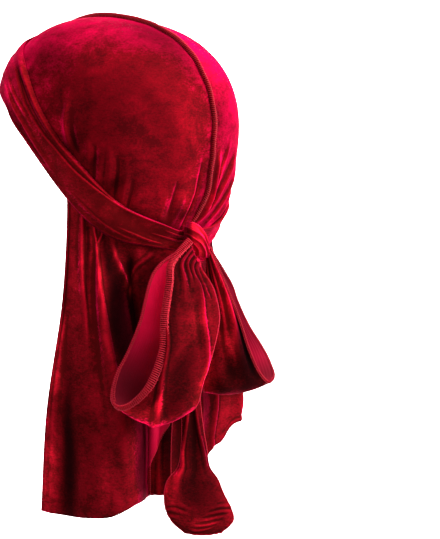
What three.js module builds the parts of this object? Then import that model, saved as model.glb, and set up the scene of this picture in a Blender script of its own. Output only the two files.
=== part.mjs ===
/**
 * A velvet durag in its tied, worn shape, as a three.js scene graph.
 *
 * Two crown panels meet in an outward standing seam over the middle of the head. A pleated band runs from
 * the forehead round both sides to a knot behind, low on the head. The knot's ends make two hanging loops
 * and two hanging strap ends, and the cape hangs from under the band down to the shoulders.
 *
 * Frame: millimetres, +Z up, the wearer faces -Y, and +X is the wearer's left. The model is built round the
 * centre of the head, then moved so that the origin is the highest point inside the crown.
 */
import * as THREE from 'three';

// The head form that the cloth lies on: half sizes in mm, the power of the rounded box, the tilt in degrees.
const HEAD = { side: 74.5, front: 91, back: 93.5, up: 84, down: 98.5, power: 2.4, tilt: 8 };
// Below the widest part the cloth leaves the head and falls straight down at these half sizes. The power
// says how sharply one shape goes over into the other.
const FALL = { side: 67, back: 74, power: 30 };

const CROWN_CLOTH = 1.5;
const BAND_CLOTH = 1.4;
const CAPE_CLOTH = 1.6;
const BOW_CLOTH = 1.6;
// The cape starts this far below the crown's rim, and follows the form for this much of its height.
const CAPE_LIFT = 1.1;
const CAPE_GAP = 2.4;
const CAPE_TUCK = 20;

const SEAM = { half: 1.5, gap: 0.6, height: 5.5, rows: 44 };
const KNOT = { x: 11, y: 89.5, z: -77, deep: 9.5, tall: 16, sides: 18 };

const CROWN_GRID = { along: 20, down: 16, crowding: 1.3 };
const BAND_GRID = { along: 34 };
const CAPE_GRID = { along: 46, down: 13 };
const LOOP_GRID = { along: 28, across: 7 };
const END_GRID = { along: 15, across: 5 };

// The bow hangs turned toward the wearer's left, and its tables are in that turned frame.
const BOW_TURN = 43;

// plan angle (0 at the left ear, -90 at the forehead), the heights of the band's lower edge, of its upper
// edge and of the crown's rim, which the band hides, and how full the band's pleats are
const BAND_EDGES = [
  [-90, 44, 74, 46, 0.3],
  [-70, 41, 73, 43, 0.3],
  [-50, 32, 67, 34, 0.4],
  [-33, 21, 58, 23, 0.6],
  [-24, 9, 51, 12, 0.8],
  [-13, -4, 38, 0, 0.9],
  [0, -22, 17, -11, 1],
  [12, -40, -1, -20, 1],
  [24, -57, -17, -33, 1],
  [35, -68, -33, -45, 1],
  [45, -74, -46, -54, 1.1],
  [55, -77, -54, -60, 1.4],
  [68, -80, -62, -67, 1.6],
  [76, -82, -67, -71, 1.2],
  [82, -83, -69, -73, 0.9],
  [93, -84, -70, -74, 0.9],
];
// The band's outer face lies this far off the form, and its pleats stand on that:
// share of the band's width from its lower edge, height of the pleats there
const BAND_LIFT = 3.9;
const BAND_PLEATS = [
  [0, 0.8],
  [0.07, 1.6],
  [0.31, 0.5],
  [0.36, 2.6],
  [0.62, 1],
  [0.67, 2.7],
  [0.93, 1.6],
  [1, 1],
];

// share of the seam from the forehead to the nape, share of the seam's full height
const SEAM_HEIGHT = [
  [0, 0],
  [0.11, 0],
  [0.16, 0.8],
  [0.22, 1],
  [0.9, 1],
  [0.95, 0.75],
  [0.975, 0],
  [1, 0],
];

// soft folds of the left crown panel: plan angle and height of both ends, height and half width of the fold
const LEFT_CROWN_FOLDS = [
  [14, 24, 18, -2, 2.2, 6],
  [27, 2, 29, -14, 2, 5],
  [36, 2, 36, -24, 1.8, 5],
  [46, -14, 45, -34, 1.8, 5],
  [78, -20, 77, -54, 3, 6],
  [66, -30, 68, -52, 2, 5],
];
const RIGHT_CROWN_FOLDS = [
  [70, -20, 80, -50, 2.6, 6],
  [30, 2, 32, -16, 2, 6],
];

// The cape's fold lines from its left free edge round the back to its right free edge: plan angle under the
// band, then plan angle and radius at UPPER, at LOWER and at the hem, and the hem's height
const UPPER = -114;
const LOWER = -200;
const CAPE_FOLDS = [
  [14, 14, 76.5, 6.5, 82, 3.5, 85, -276],
  [19, 19, 78, 15.5, 83.5, 16.7, 84.8, -273],
  [25, 25.9, 82.3, 25, 90.5, 30.4, 96.3, -272],
  [31, 31, 80.5, 36, 90, 40, 98, -271],
  [38, 37.7, 83.4, 46.7, 92.2, 51, 92.9, -264],
  [50, 50, 60, 64, 58, 62, 64, -267],
  [57, 57, 63.5, 73, 66, 70.3, 69.8, -264],
  [67, 68, 66, 85, 65, 86.8, 66.4, -260],
  [82, 83.5, 74, 95, 76, 91.2, 75, -252],
  [100, 100, 73, 110, 76, 103, 79.4, -239],
  [112, 115, 77, 121, 87, 117, 85, -228],
  [126, 129, 79, 128, 95.3, 129, 94, -219],
  [142, 143, 74, 146, 82, 147, 84, -217],
  [155, 156, 80, 158, 90, 159, 92, -218],
  [169, 168, 78.6, 171, 84, 172, 86, -222],
];

// Loops and ends: across, out and up of one edge, of the other edge, then the middle's bulge out and up.
const LEFT_LOOP = [
  [49, 77.5, -77.5, 61, 75, -95.5, 3, 0],
  [39.3, 88, -88, 63.5, 78, -98, 4, 2],
  [34.6, 100, -101.5, 69.7, 82, -108, 5, 2],
  [30.7, 110, -123.6, 73, 88, -121.7, 5, 1],
  [29.8, 117, -143.8, 72.7, 94, -132.4, 5, 0],
  [24, 121, -161.6, 67.9, 102, -151.2, 5, -1],
  [16.9, 121, -174.4, 61.2, 108, -169.6, 6, -4],
  [5.6, 117, -185, 57.5, 110, -185.1, 6, -8],
  [-3.6, 110, -186.3, 52.6, 107, -192, 3, -12],
  [-4.9, 105, -178, 51.6, 98, -188, -2, -9],
  [-0.6, 102, -163.9, 53.3, 92, -178.5, -3, -3],
  [5.9, 99, -152, 55.6, 87, -167.6, -3, 0],
  [15.4, 94, -129.7, 60.5, 79, -141.8, -3, 0],
  [21.3, 88, -110.4, 62.5, 75, -120.4, -2, 0],
  [31, 76, -92, 61, 71, -99, -1, 0],
];
const RIGHT_LOOP = [
  [66, 60.5, -94, 71, 66, -85, 1, 0],
  [63.8, 66, -107.4, 79.7, 73, -106.6, 3, 0],
  [64.5, 66, -122.9, 85.6, 74, -122.2, 4, 0],
  [64, 65, -140.9, 90.8, 72, -136.6, 5, 0],
  [63, 64, -157.4, 96.2, 68, -153.5, 5, 0],
  [62.5, 64, -172.3, 102.5, 63, -168.7, 5, -1],
  [62.5, 63.5, -184, 108.1, 58, -178, 4, -3],
  [63, 61, -188, 113.8, 52, -183, 1, -5],
  [63.2, 58, -186, 117.3, 46, -179, -2, -4],
  [63.5, 56, -176.2, 113.8, 42, -168, -4, -1],
  [64.5, 55, -157.6, 107.9, 40, -156.9, -4, 0],
  [65.3, 54, -139, 98, 42, -140.6, -3, 0],
  [66.8, 54, -120.3, 89.6, 45, -122.1, -2, 0],
  [66.5, 55, -105.4, 85, 47, -109.7, -1, 0],
  [67, 55.5, -93, 75, 53, -92, -1, 0],
];
const RIGHT_END = [
  [51, 64, -101, 59.5, 63, -101, 1, 0],
  [48, 67, -128, 60, 66, -128, 2, 0],
  [46.5, 70, -155, 60, 70, -155, 3, 0],
  [46, 74, -185, 60, 73, -185, 3, 0],
  [46, 78, -207, 62, 76, -208, 3, 0],
  [45.5, 79.5, -226, 65, 77, -227, 4, 0],
  [43, 82, -239, 67, 78, -240, 5, 0],
  [35.5, 85, -248, 73, 80, -249, 6, 0],
  [32.9, 87, -258, 77, 82, -259, 6, 0],
  [33.6, 88, -269, 82.5, 84, -270, 6, 0],
  [38.5, 88, -279, 84, 84, -280, 5, -1],
  [48, 87, -288, 75.5, 85, -288.5, 3, -1],
];
const LEFT_END = [
  [45, 67, -101, 50, 66.5, -101, 1, 0],
  [36, 67.5, -130, 44.5, 66, -130, 1, 0],
  [28, 68, -158, 43.5, 66, -158, 2, 0],
  [23.5, 69, -182, 42, 66, -182, 2, 0],
  [22.5, 69, -210, 40, 66, -210, 2, 0],
  [22.5, 69, -238, 39, 66, -238, 2, 0],
  [22.5, 69, -263, 39.5, 66, -264, 2, 0],
];

const radians = THREE.MathUtils.degToRad;

/** Reads a table between its rows along a smooth curve. The first number of each row is its position. */
function readTable(rows, position) {
  const last = rows.length - 1;
  let k = 0;
  while (k < last - 1 && rows[k + 1][0] < position) k += 1;
  const before = rows[Math.max(k - 1, 0)];
  const after = rows[Math.min(k + 2, last)];
  const a = rows[k];
  const b = rows[k + 1];
  const span = b[0] - a[0];
  const t = THREE.MathUtils.clamp((position - a[0]) / span, 0, 1);
  const blendA = 2 * t ** 3 - 3 * t ** 2 + 1;
  const slopeA = t ** 3 - 2 * t ** 2 + t;
  const slopeB = t ** 3 - t ** 2;
  return a.map((value, column) => {
    const riseA = ((b[column] - before[column]) / (b[0] - before[0])) * span;
    const riseB = ((after[column] - value) / (after[0] - a[0])) * span;
    return blendA * value + (1 - blendA) * b[column] + slopeA * riseA + slopeB * riseB;
  });
}

/** Puts each row's share of the whole table, from 0 to 1, in front of it. */
const numbered = (rows) => rows.map((row, k) => [k / (rows.length - 1), ...row]);

/** The point of the form in a direction given by plan angle and elevation in degrees, lifted off it. */
function formPoint(plan, elevation, lift) {
  const direction = new THREE.Vector3(
    Math.cos(radians(elevation)) * Math.cos(radians(plan)),
    Math.cos(radians(elevation)) * Math.sin(radians(plan)),
    Math.sin(radians(elevation)),
  );
  return onForm(direction, lift);
}

/** The point of the form in a direction from the centre of the head. */
function onForm(direction, lift) {
  const tilt = radians(HEAD.tilt);
  const y = direction.y * Math.cos(tilt) - direction.z * Math.sin(tilt);
  const z = direction.y * Math.sin(tilt) + direction.z * Math.cos(tilt);
  const level =
    Math.abs(direction.x / HEAD.side) ** HEAD.power +
    Math.abs(y / (y < 0 ? HEAD.front : HEAD.back)) ** HEAD.power +
    Math.abs(z / (z > 0 ? HEAD.up : HEAD.down)) ** HEAD.power;
  let radius = level ** (-1 / HEAD.power);
  if (direction.z < 0) {
    const fall = 1 / Math.hypot(direction.x / FALL.side, direction.y / FALL.back);
    radius = (radius ** FALL.power + fall ** FALL.power) ** (1 / FALL.power);
  }
  return direction.clone().multiplyScalar(radius + lift);
}

/** The point of the form at a plan angle and a height, found by halving the range of elevations. */
function formAtHeight(plan, height, lift) {
  let low = -80;
  let high = 89;
  for (let step = 0; step < 26; step += 1) {
    const middle = (low + high) / 2;
    if (formPoint(plan, middle, lift).z < height) {
      low = middle;
    } else {
      high = middle;
    }
  }
  return formPoint(plan, low, lift);
}

/** The direction a share of the way along the arc from one direction to another. */
function arcDirection(from, to, share) {
  const angle = from.angleTo(to);
  const a = Math.sin((1 - share) * angle) / Math.sin(angle);
  const b = Math.sin(share * angle) / Math.sin(angle);
  return from.clone().multiplyScalar(a).addScaledVector(to, b);
}

/** A grid of points: pointAt is called with the shares from 0 to 1 along both directions. */
function makeGrid(along, across, pointAt) {
  return Array.from({ length: along + 1 }, (_, i) =>
    Array.from({ length: across + 1 }, (__, j) => pointAt(i / along, j / across)),
  );
}

/** The cloth's normal at each point of a grid, from its neighbours. */
function gridNormals(grid) {
  return grid.map((row, i) =>
    row.map((_, j) => {
      const next = grid[Math.min(i + 1, grid.length - 1)][j];
      const previous = grid[Math.max(i - 1, 0)][j];
      const right = row[Math.min(j + 1, row.length - 1)];
      const left = row[Math.max(j - 1, 0)];
      const lengthwise = next.clone().sub(previous);
      return lengthwise.cross(right.clone().sub(left)).normalize();
    }),
  );
}

/** Six times the volume inside an indexed mesh, negative when its faces point inward. */
function signedVolume(positions, indices) {
  const corner = (k) => new THREE.Vector3().fromArray(positions, indices[k] * 3);
  let sum = 0;
  for (let k = 0; k < indices.length; k += 3) {
    sum += corner(k).dot(corner(k + 1).cross(corner(k + 2)));
  }
  return sum;
}

/** A closed solid between a grid of points and the same grid moved by the cloth's thickness. */
function sheetSolid(grid, thickness) {
  const normals = gridNormals(grid);
  const rows = grid.length;
  const columns = grid[0].length;
  const face = grid.flat();
  const back = face.map((point, k) => point.clone().addScaledVector(normals.flat()[k], -thickness));
  const positions = [...face, ...back].flatMap((point) => point.toArray());
  const under = rows * columns;
  const indices = [];
  const quad = (a, b, c, d) => indices.push(a, b, c, a, c, d);
  for (let i = 0; i < rows - 1; i += 1) {
    for (let j = 0; j < columns - 1; j += 1) {
      const k = i * columns + j;
      quad(k, k + columns, k + columns + 1, k + 1);
      quad(under + k, under + k + 1, under + k + columns + 1, under + k + columns);
    }
  }
  for (let i = 0; i < rows - 1; i += 1) {
    const first = i * columns;
    const end = first + columns - 1;
    quad(first, under + first, under + first + columns, first + columns);
    quad(end, end + columns, under + end + columns, under + end);
  }
  for (let j = 0; j < columns - 1; j += 1) {
    const end = (rows - 1) * columns + j;
    quad(j, j + 1, under + j + 1, under + j);
    quad(end, under + end, under + end + 1, end + 1);
  }
  if (signedVolume(positions, indices) < 0) indices.reverse();
  const geometry = new THREE.BufferGeometry();
  geometry.setAttribute('position', new THREE.Float32BufferAttribute(positions, 3));
  geometry.setIndex(indices);
  geometry.computeVertexNormals();
  return geometry;
}

/** The same grid on the other side of the middle plane, with its rows turned so that it faces out. */
const mirrored = (grid) => grid.map((row) => row.map((p) => new THREE.Vector3(-p.x, p.y, p.z))).reverse();

/** How far soft folds lift the cloth at a point: each is a ridge along a straight line. */
function foldLift(point, folds) {
  return folds.reduce((sum, [plan1, height1, plan2, height2, height, half]) => {
    const line = new THREE.Line3(formAtHeight(plan1, height1, 0), formAtHeight(plan2, height2, 0));
    const nearest = line.closestPointToPoint(point, true, new THREE.Vector3());
    return sum + height * Math.exp(-((nearest.distanceTo(point) / half) ** 2));
  }, 0);
}

/** The height of the crown's rim, under the band, at any plan angle. */
const rimHeight = (plan) => readTable(BAND_EDGES, plan <= 90 ? plan : 180 - plan)[3];

/** The direction of the middle seam, from the forehead over the top to the nape. */
function seamDirection(share) {
  const front = formAtHeight(-90, rimHeight(-90), 0);
  const nape = formAtHeight(90, rimHeight(90), 0);
  const start = Math.atan2(front.z, -front.y);
  const end = Math.atan2(nape.z, -nape.y) + 2 * Math.PI;
  const angle = THREE.MathUtils.lerp(start, end, share);
  return new THREE.Vector3(0, -Math.cos(angle), Math.sin(angle));
}

/** One crown panel: ribs of cloth run from the middle seam down to the rim under the band. */
function crownGrid(folds) {
  return makeGrid(CROWN_GRID.down, CROWN_GRID.along, (down, share) => {
    const plan = THREE.MathUtils.lerp(-72, 74, share);
    const rim = formAtHeight(plan, rimHeight(plan), 0).normalize();
    const closerToRim = 1 - (1 - down) ** CROWN_GRID.crowding;
    const direction = arcDirection(seamDirection(share), rim, closerToRim);
    const lift = CROWN_CLOTH + foldLift(onForm(direction, 0), folds);
    const point = onForm(direction, lift);
    point.x += (SEAM.half + SEAM.gap) * (1 - closerToRim);
    return point;
  });
}

/** One face of the two seam allowances, overlocked together and standing out along the middle. */
function seamGrid() {
  return makeGrid(SEAM.rows, 1, (share, side) => {
    const height = CROWN_CLOTH + SEAM.height * readTable(SEAM_HEIGHT, share)[1];
    const point = onForm(seamDirection(share), side * height);
    point.x = SEAM.half;
    return point;
  });
}

/** Half of the band, from the forehead to the knot, laid in overlapping pleats that stand by their slack. */
function bandGrid(endPlan, slack) {
  return Array.from({ length: BAND_GRID.along + 1 }, (_, i) => {
    const share = i / BAND_GRID.along;
    const plan = THREE.MathUtils.lerp(-89.7, endPlan, share);
    const [, lower, upper, , fullness] = readTable(BAND_EDGES, plan);
    return BAND_PLEATS.map(([width, pleat]) => {
      const height = THREE.MathUtils.lerp(lower, upper, width);
      return formAtHeight(plan, height, BAND_LIFT + pleat * fullness * slack);
    });
  });
}

/** A point at a plan angle, a radius and a height. */
function polar(plan, radius, height) {
  return new THREE.Vector3(radius * Math.cos(radians(plan)), radius * Math.sin(radians(plan)), height);
}

/** The cape: its fold lines leave the band, spread and fall to the uneven hem. */
function capeGrid() {
  const rows = numbered(CAPE_FOLDS);
  return makeGrid(CAPE_GRID.down, CAPE_GRID.along, (down, share) => {
    const [, top, plan1, radius1, plan2, radius2, planHem, radiusHem, hem] = readTable(rows, share);
    const rim = rimHeight(top);
    const line = new THREE.CatmullRomCurve3(
      [
        formAtHeight(top, rim - CAPE_GAP, CAPE_LIFT),
        formAtHeight(top, rim - CAPE_TUCK, CAPE_LIFT),
        polar(plan1, radius1, UPPER),
        polar(plan2, radius2, LOWER),
        polar(planHem, radiusHem, hem),
      ],
      false,
      'centripetal',
    );
    return line.getPoint(down ** 1.25);
  });
}

/** A hanging strip given by its two edges and the bulge of its middle, in the turned frame of the bow. */
function stripGrid(table, { along, across }, ripple) {
  const rows = numbered(table);
  const turn = radians(BOW_TURN);
  return makeGrid(along, across, (share, width) => {
    const [, a1, o1, u1, a2, o2, u2, bulgeOut, bulgeUp] = readTable(rows, share);
    const arch = Math.sin(Math.PI * width);
    const wave = ripple * Math.sin(Math.PI * share) * Math.sin(3 * Math.PI * width);
    const sideways = THREE.MathUtils.lerp(a1, a2, width);
    const out = THREE.MathUtils.lerp(o1, o2, width) + bulgeOut * arch + wave;
    const up = THREE.MathUtils.lerp(u1, u2, width) + bulgeUp * arch;
    return new THREE.Vector3(
      -Math.sin(turn) * sideways + Math.cos(turn) * out,
      Math.cos(turn) * sideways + Math.sin(turn) * out,
      up,
    );
  });
}

/** The knot: a short barrel of wrapped cloth, lying across the back, with a groove between its turns. */
function knotGeometry() {
  const profile = [
    [0, -8],
    [0.5, -8],
    [0.8, -7],
    [0.95, -5],
    [0.88, -3.2],
    [1, -1.4],
    [0.9, 0.6],
    [1, 2.6],
    [0.9, 4.4],
    [0.86, 6.4],
    [0.5, 8],
    [0, 8],
  ].map(([radius, x]) => new THREE.Vector2(radius, x));
  const geometry = new THREE.LatheGeometry(profile, KNOT.sides);
  geometry.rotateZ(-Math.PI / 2);
  geometry.scale(1, KNOT.deep, KNOT.tall);
  geometry.translate(KNOT.x, KNOT.y, KNOT.z);
  return geometry;
}

const velvet = (name, color) =>
  new THREE.MeshStandardMaterial({ name, color, roughness: 0.9, metalness: 0 });

const cloth = (name, grid, thickness, look, color) =>
  [name, sheetSolid(grid, thickness), velvet(look, color)];
const strip = (name, table, layout, ripple) =>
  cloth(name, stripGrid(table, layout, ripple), BOW_CLOTH, 'bow velvet', '#9a0c28');

const pieces = [
  cloth('crown_left', crownGrid(LEFT_CROWN_FOLDS), CROWN_CLOTH, 'crown velvet', '#8e0a22'),
  cloth('crown_right', mirrored(crownGrid(RIGHT_CROWN_FOLDS)), CROWN_CLOTH, 'crown velvet', '#8e0a22'),
  cloth('crown_seam', seamGrid(), 2 * SEAM.half, 'overlocked edge', '#7a1018'),
  cloth('strap_left', bandGrid(80, 1), BAND_CLOTH, 'band velvet', '#9a0c28'),
  cloth('strap_right', mirrored(bandGrid(91, 0.6)), BAND_CLOTH, 'band velvet', '#9a0c28'),
  ['knot', knotGeometry(), velvet('knot velvet', '#a00c2a')],
  strip('loop_left', LEFT_LOOP, LOOP_GRID, 1.2),
  strip('loop_right', RIGHT_LOOP, LOOP_GRID, 1),
  strip('end_left', LEFT_END, END_GRID, 0.8),
  strip('end_right', RIGHT_END, END_GRID, 1.2),
  cloth('cape', capeGrid(), CAPE_CLOTH, 'cape velvet', '#850a20'),
];

const group = new THREE.Group();
group.name = 'durag';
for (const [name, geometry, material] of pieces) {
  const mesh = new THREE.Mesh(geometry, material);
  mesh.name = name;
  group.add(mesh);
}

// The origin goes to the highest point inside the crown, on the middle plane.
let crownTop = new THREE.Vector3(0, 0, 0);
for (let share = 0; share <= 1; share += 0.005) {
  const point = onForm(seamDirection(share), 0);
  if (point.z > crownTop.z) crownTop = point;
}
group.position.set(0, -crownTop.y, -crownTop.z);

export default group;
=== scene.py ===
# %% [markdown]
# # A crushed velvet durag, tied and worn
#
# A durag is a head wrap of thin stretch cloth: two crown panels, a band that is tied behind, and a cape that
# hangs over the neck. Every piece here is a surface computed with numpy. A point of it is a formula of two
# shares between 0 and 1, worked out for the whole grid at once, and the grid then becomes a mesh. Lengths are
# millimetres round the centre of the head until that moment, and Blender's own unit is the metre.

import bpy
import numpy as np
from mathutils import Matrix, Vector


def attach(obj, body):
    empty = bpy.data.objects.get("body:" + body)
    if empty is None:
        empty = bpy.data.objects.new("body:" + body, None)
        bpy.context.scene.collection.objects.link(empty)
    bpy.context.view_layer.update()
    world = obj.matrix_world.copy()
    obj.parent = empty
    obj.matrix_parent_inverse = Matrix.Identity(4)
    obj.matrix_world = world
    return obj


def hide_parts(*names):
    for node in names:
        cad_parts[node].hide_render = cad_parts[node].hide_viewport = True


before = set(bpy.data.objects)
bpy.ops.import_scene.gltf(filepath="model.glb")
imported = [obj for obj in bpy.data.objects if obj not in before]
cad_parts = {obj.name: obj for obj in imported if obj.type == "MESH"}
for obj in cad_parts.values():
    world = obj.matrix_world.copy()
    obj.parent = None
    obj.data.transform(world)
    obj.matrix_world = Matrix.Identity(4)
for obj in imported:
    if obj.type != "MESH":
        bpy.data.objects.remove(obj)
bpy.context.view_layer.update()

# %% [markdown]
# ## Camera
#
# We look at the wearer's left rear, a little from above. The camera's place is given in axes turned about the
# vertical: across the view, out toward the camera, and up. A point to stand on and a point to aim at are
# easier to reason about than three angles.

# %% Camera
# The centre of the head, in mm from the frame's origin, which is the highest point inside the crown.
HEAD_CENTRE = np.array([0.0, 11.508, -85.093])
# The view is centred this far below the head's centre, and off it by the aim's distances.
VIEW = {"turn": 43, "rise": 8, "distance": 1400, "below": 110, "aim_across": 78.75, "aim_up": 4.86}
IMAGE_TALL, MM_PER_PIXEL = 539, 0.765
SENSOR = 36


def turned(across, out, up, turn):
    """Points given across, out and up in axes turned about the vertical, as x, y and z."""
    c, s = np.cos(np.radians(turn)), np.sin(np.radians(turn))
    return np.stack(np.broadcast_arrays(-s * across + c * out, c * across + s * out, up), -1)


rise = np.radians(VIEW["rise"])
level = HEAD_CENTRE - [0, 0, VIEW["below"]]
stand = level + turned(0, VIEW["distance"] * np.cos(rise), VIEW["distance"] * np.sin(rise), VIEW["turn"])
aim = level + turned(VIEW["aim_across"], 0, 0, VIEW["turn"])
aim = aim + turned(0, -VIEW["aim_up"] * np.sin(rise), VIEW["aim_up"] * np.cos(rise), VIEW["turn"])
camera = bpy.data.objects.new("camera", bpy.data.cameras.new("camera"))
camera.location = stand / 1000
camera.rotation_euler = Vector(aim - stand).to_track_quat("-Z", "Y").to_euler()
camera.data.sensor_width = SENSOR
camera.data.lens = SENSOR * VIEW["distance"] / (MM_PER_PIXEL * IMAGE_TALL)
camera.data.clip_end = 20
bpy.context.scene.collection.objects.link(camera)
bpy.context.scene.camera = camera
print("camera at", np.round(stand / 1000, 3), "with a lens of", round(camera.data.lens, 1), "mm")

# %% [markdown]
# ## Reading a pattern
#
# A pattern cutter writes sizes in a chart and draws a smooth curve through them. We do the same: each row of
# a table holds sizes at one place, and a cubic curve runs through the rows. Bezier curves would do as well,
# but a table is short, and its numbers stay plain to read.


# %% Smooth tables
def read_table(rows, at):
    """All columns of a table at many positions. The first column holds the positions. Between two rows runs a
    cubic whose slope at each row is the rise between that row's two neighbours."""
    rows, at = np.asarray(rows, float), np.asarray(at, float)
    last = len(rows) - 1
    ahead, behind = np.minimum(np.arange(last + 1) + 1, last), np.maximum(np.arange(last + 1) - 1, 0)
    slope = (rows[ahead] - rows[behind]) / (rows[ahead, :1] - rows[behind, :1])
    k = np.clip(np.searchsorted(rows[:, 0], at) - 1, 0, last - 1)
    span = rows[k + 1, 0] - rows[k, 0]
    t = np.clip((at - rows[k, 0]) / span, 0, 1)[..., None]
    value = (2 * t**3 - 3 * t**2 + 1) * rows[k] + (3 * t**2 - 2 * t**3) * rows[k + 1]
    value = value + span[..., None] * ((t**3 - 2 * t**2 + t) * slope[k] + (t**3 - t**2) * slope[k + 1])
    return np.moveaxis(value, -1, 0)


def numbered(rows):
    """The same rows with each one's share of the whole table, from 0 to 1, in front."""
    return np.column_stack([np.linspace(0, 1, len(rows)), np.asarray(rows, float)])


def shares(rows, columns):
    """Two grids of shares from 0 to 1, one down the rows and one across the columns."""
    return np.meshgrid(np.linspace(0, 1, rows + 1), np.linspace(0, 1, columns + 1), indexing="ij")


def ease(low, high, value):
    """0 below low, 1 above high, and a smooth S between."""
    t = np.clip((value - low) / (high - low), 0, 1)
    return t * t * (3 - 2 * t)


small_table = [[0, 0], [1, 8], [2, 9]]
print("a table that rises from 0 over 8 to 9 is at", read_table(small_table, 0.5)[1], "halfway to 8")

# %% [markdown]
# ## The head form
#
# Cloth needs something to lie on. The form is a rounded box, a superellipsoid, tilted a little back. It is
# rounder than a box and fuller than an ellipsoid, as a head is. Below its widest part the cloth leaves it
# and falls straight, so there the form goes over into an upright oval tube. A sculpted head would do as
# well, but a formula can be asked for any point, with any lift for the thickness of what lies on it.

# %% The head form
# half sizes in mm, the power of the rounded box and the tilt in degrees; then the tube's half sizes, and how
# sharply one shape goes over into the other
HEAD = {"side": 74.5, "front": 91, "back": 93.5, "up": 84, "down": 98.5, "power": 2.4, "tilt": 8}
FALL = {"side": 67, "back": 74, "power": 30}


def on_form(direction, lift):
    """Where a direction from the centre leaves the form, plus a lift along it. The box's radius is
    (|x/a|^n + |y/b|^n + |z/c|^n)^(-1/n). Below the centre the larger of box and tube counts, softly."""
    tilt = np.radians(HEAD["tilt"])
    x, y, z = np.moveaxis(direction, -1, 0)
    level_y, level_z = y * np.cos(tilt) - z * np.sin(tilt), y * np.sin(tilt) + z * np.cos(tilt)
    b = np.where(level_y < 0, HEAD["front"], HEAD["back"])
    c = np.where(level_z > 0, HEAD["up"], HEAD["down"])
    n, p = HEAD["power"], FALL["power"]
    radius = (abs(x / HEAD["side"]) ** n + abs(level_y / b) ** n + abs(level_z / c) ** n) ** (-1 / n)
    tube = 1 / np.maximum(np.hypot(x / FALL["side"], y / FALL["back"]), 1e-6)
    radius = np.where(z < 0, radius * (1 + np.minimum(tube / radius, 3) ** p) ** (1 / p), radius)
    return direction * (radius + lift)[..., None]


def form_point(plan, elevation, lift):
    """The form's point at a plan angle and an elevation, in degrees, seen from the centre."""
    plan, elevation, lift = np.broadcast_arrays(np.radians(plan), np.radians(elevation), lift)
    flat = np.cos(elevation)
    return on_form(np.stack([flat * np.cos(plan), flat * np.sin(plan), np.sin(elevation)], -1), lift)


HALVINGS = 26


def at_height(plan, height, lift):
    """The form's point at a plan angle and a height, found by halving the range of elevations again and
    again."""
    plan, height, lift = np.broadcast_arrays(*(np.asarray(v, float) for v in (plan, height, lift)))
    low, high = np.full(plan.shape, -80.0), np.full(plan.shape, 89.0)
    for _ in range(HALVINGS):
        middle = (low + high) / 2
        under = form_point(plan, middle, lift)[..., 2] < height
        low, high = np.where(under, middle, low), np.where(under, high, middle)
    return form_point(plan, low, lift)


print("form: nape", np.round(at_height(90, -70, 0), 1), "ear", np.round(at_height(0, -20, 0), 1))

# %% [markdown]
# ## Folds
#
# A fold in cloth is a ridge with a line along its crest. It is steeper on the side it leans to, and it dies
# away at both ends. Sculpting by hand would do, but a few numbers for each crest give a fold that can be
# moved later. A second helper draws the folds that run the long way down a hanging strip.


# %% Folds
def ridge(distance, side_a, side_b):
    """A fold's cross-section, exp(-(d/w)^2), with a width of its own on either side of the crest."""
    return np.exp(-((distance / np.where(distance < 0, side_a, side_b)) ** 2))


CREST_POINTS = 13
FADE = 0.3


def fold_lift(points, folds):
    """How far folds lift the cloth on the form. A crest is a parabola through three places on the form. Each
    point takes its nearest spot on the crest, and the fold fades out toward both ends."""
    total = np.zeros(points.shape[:-1])
    t = np.linspace(0, 1, CREST_POINTS)[:, None]
    for plan1, z1, plan2, z2, plan3, z3, height, side_a, side_b in folds:
        a, b, c = at_height([plan1, plan2, plan3], [z1, z2, z3], 0)
        crest = a * (1 - t) * (1 - 2 * t) + b * 4 * t * (1 - t) + c * t * (2 * t - 1)
        step = np.diff(crest, axis=0)
        offset = points[..., None, :] - crest[:-1]
        along = np.clip((offset * step).sum(-1) / (step**2).sum(-1), 0, 1)
        away = offset - along[..., None] * step
        nearest = np.linalg.norm(away, axis=-1).argmin(-1)[..., None]
        away = np.take_along_axis(away, nearest[..., None], -2)[..., 0, :]
        share = (np.take_along_axis(along, nearest, -1) + nearest)[..., 0] / len(step)
        side = (np.cross(points, step[nearest[..., 0]]) * away).sum(-1)
        distance = np.linalg.norm(away, axis=-1) * np.sign(side)
        ends = ease(0, FADE, share) * ease(0, FADE, 1 - share)
        total += height * ends * ridge(distance, side_a, side_b)
    return total


def long_folds(along, across, width, folds):
    """How far folds down a strip lift it. Each fold is a table: share of the length, where the crest lies
    across, its height, and its width to either side in mm."""
    total = np.zeros(along.shape)
    for rows in folds:
        _, centre, height, side_a, side_b = read_table(rows, along)
        total += height * ridge((across - centre) * width, side_a, side_b)
    return total


def normals(points):
    """Unit normals of a grid: the step down the rows crossed with the step across the columns."""
    n = np.cross(np.gradient(points, axis=0), np.gradient(points, axis=1))
    return n / np.maximum(np.linalg.norm(n, axis=-1, keepdims=True), 1e-9)


print("a fold 2 mm wide stands at", round(float(ridge(1.0, 2, 2)), 2), "of its height 1 mm beside its crest")
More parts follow.
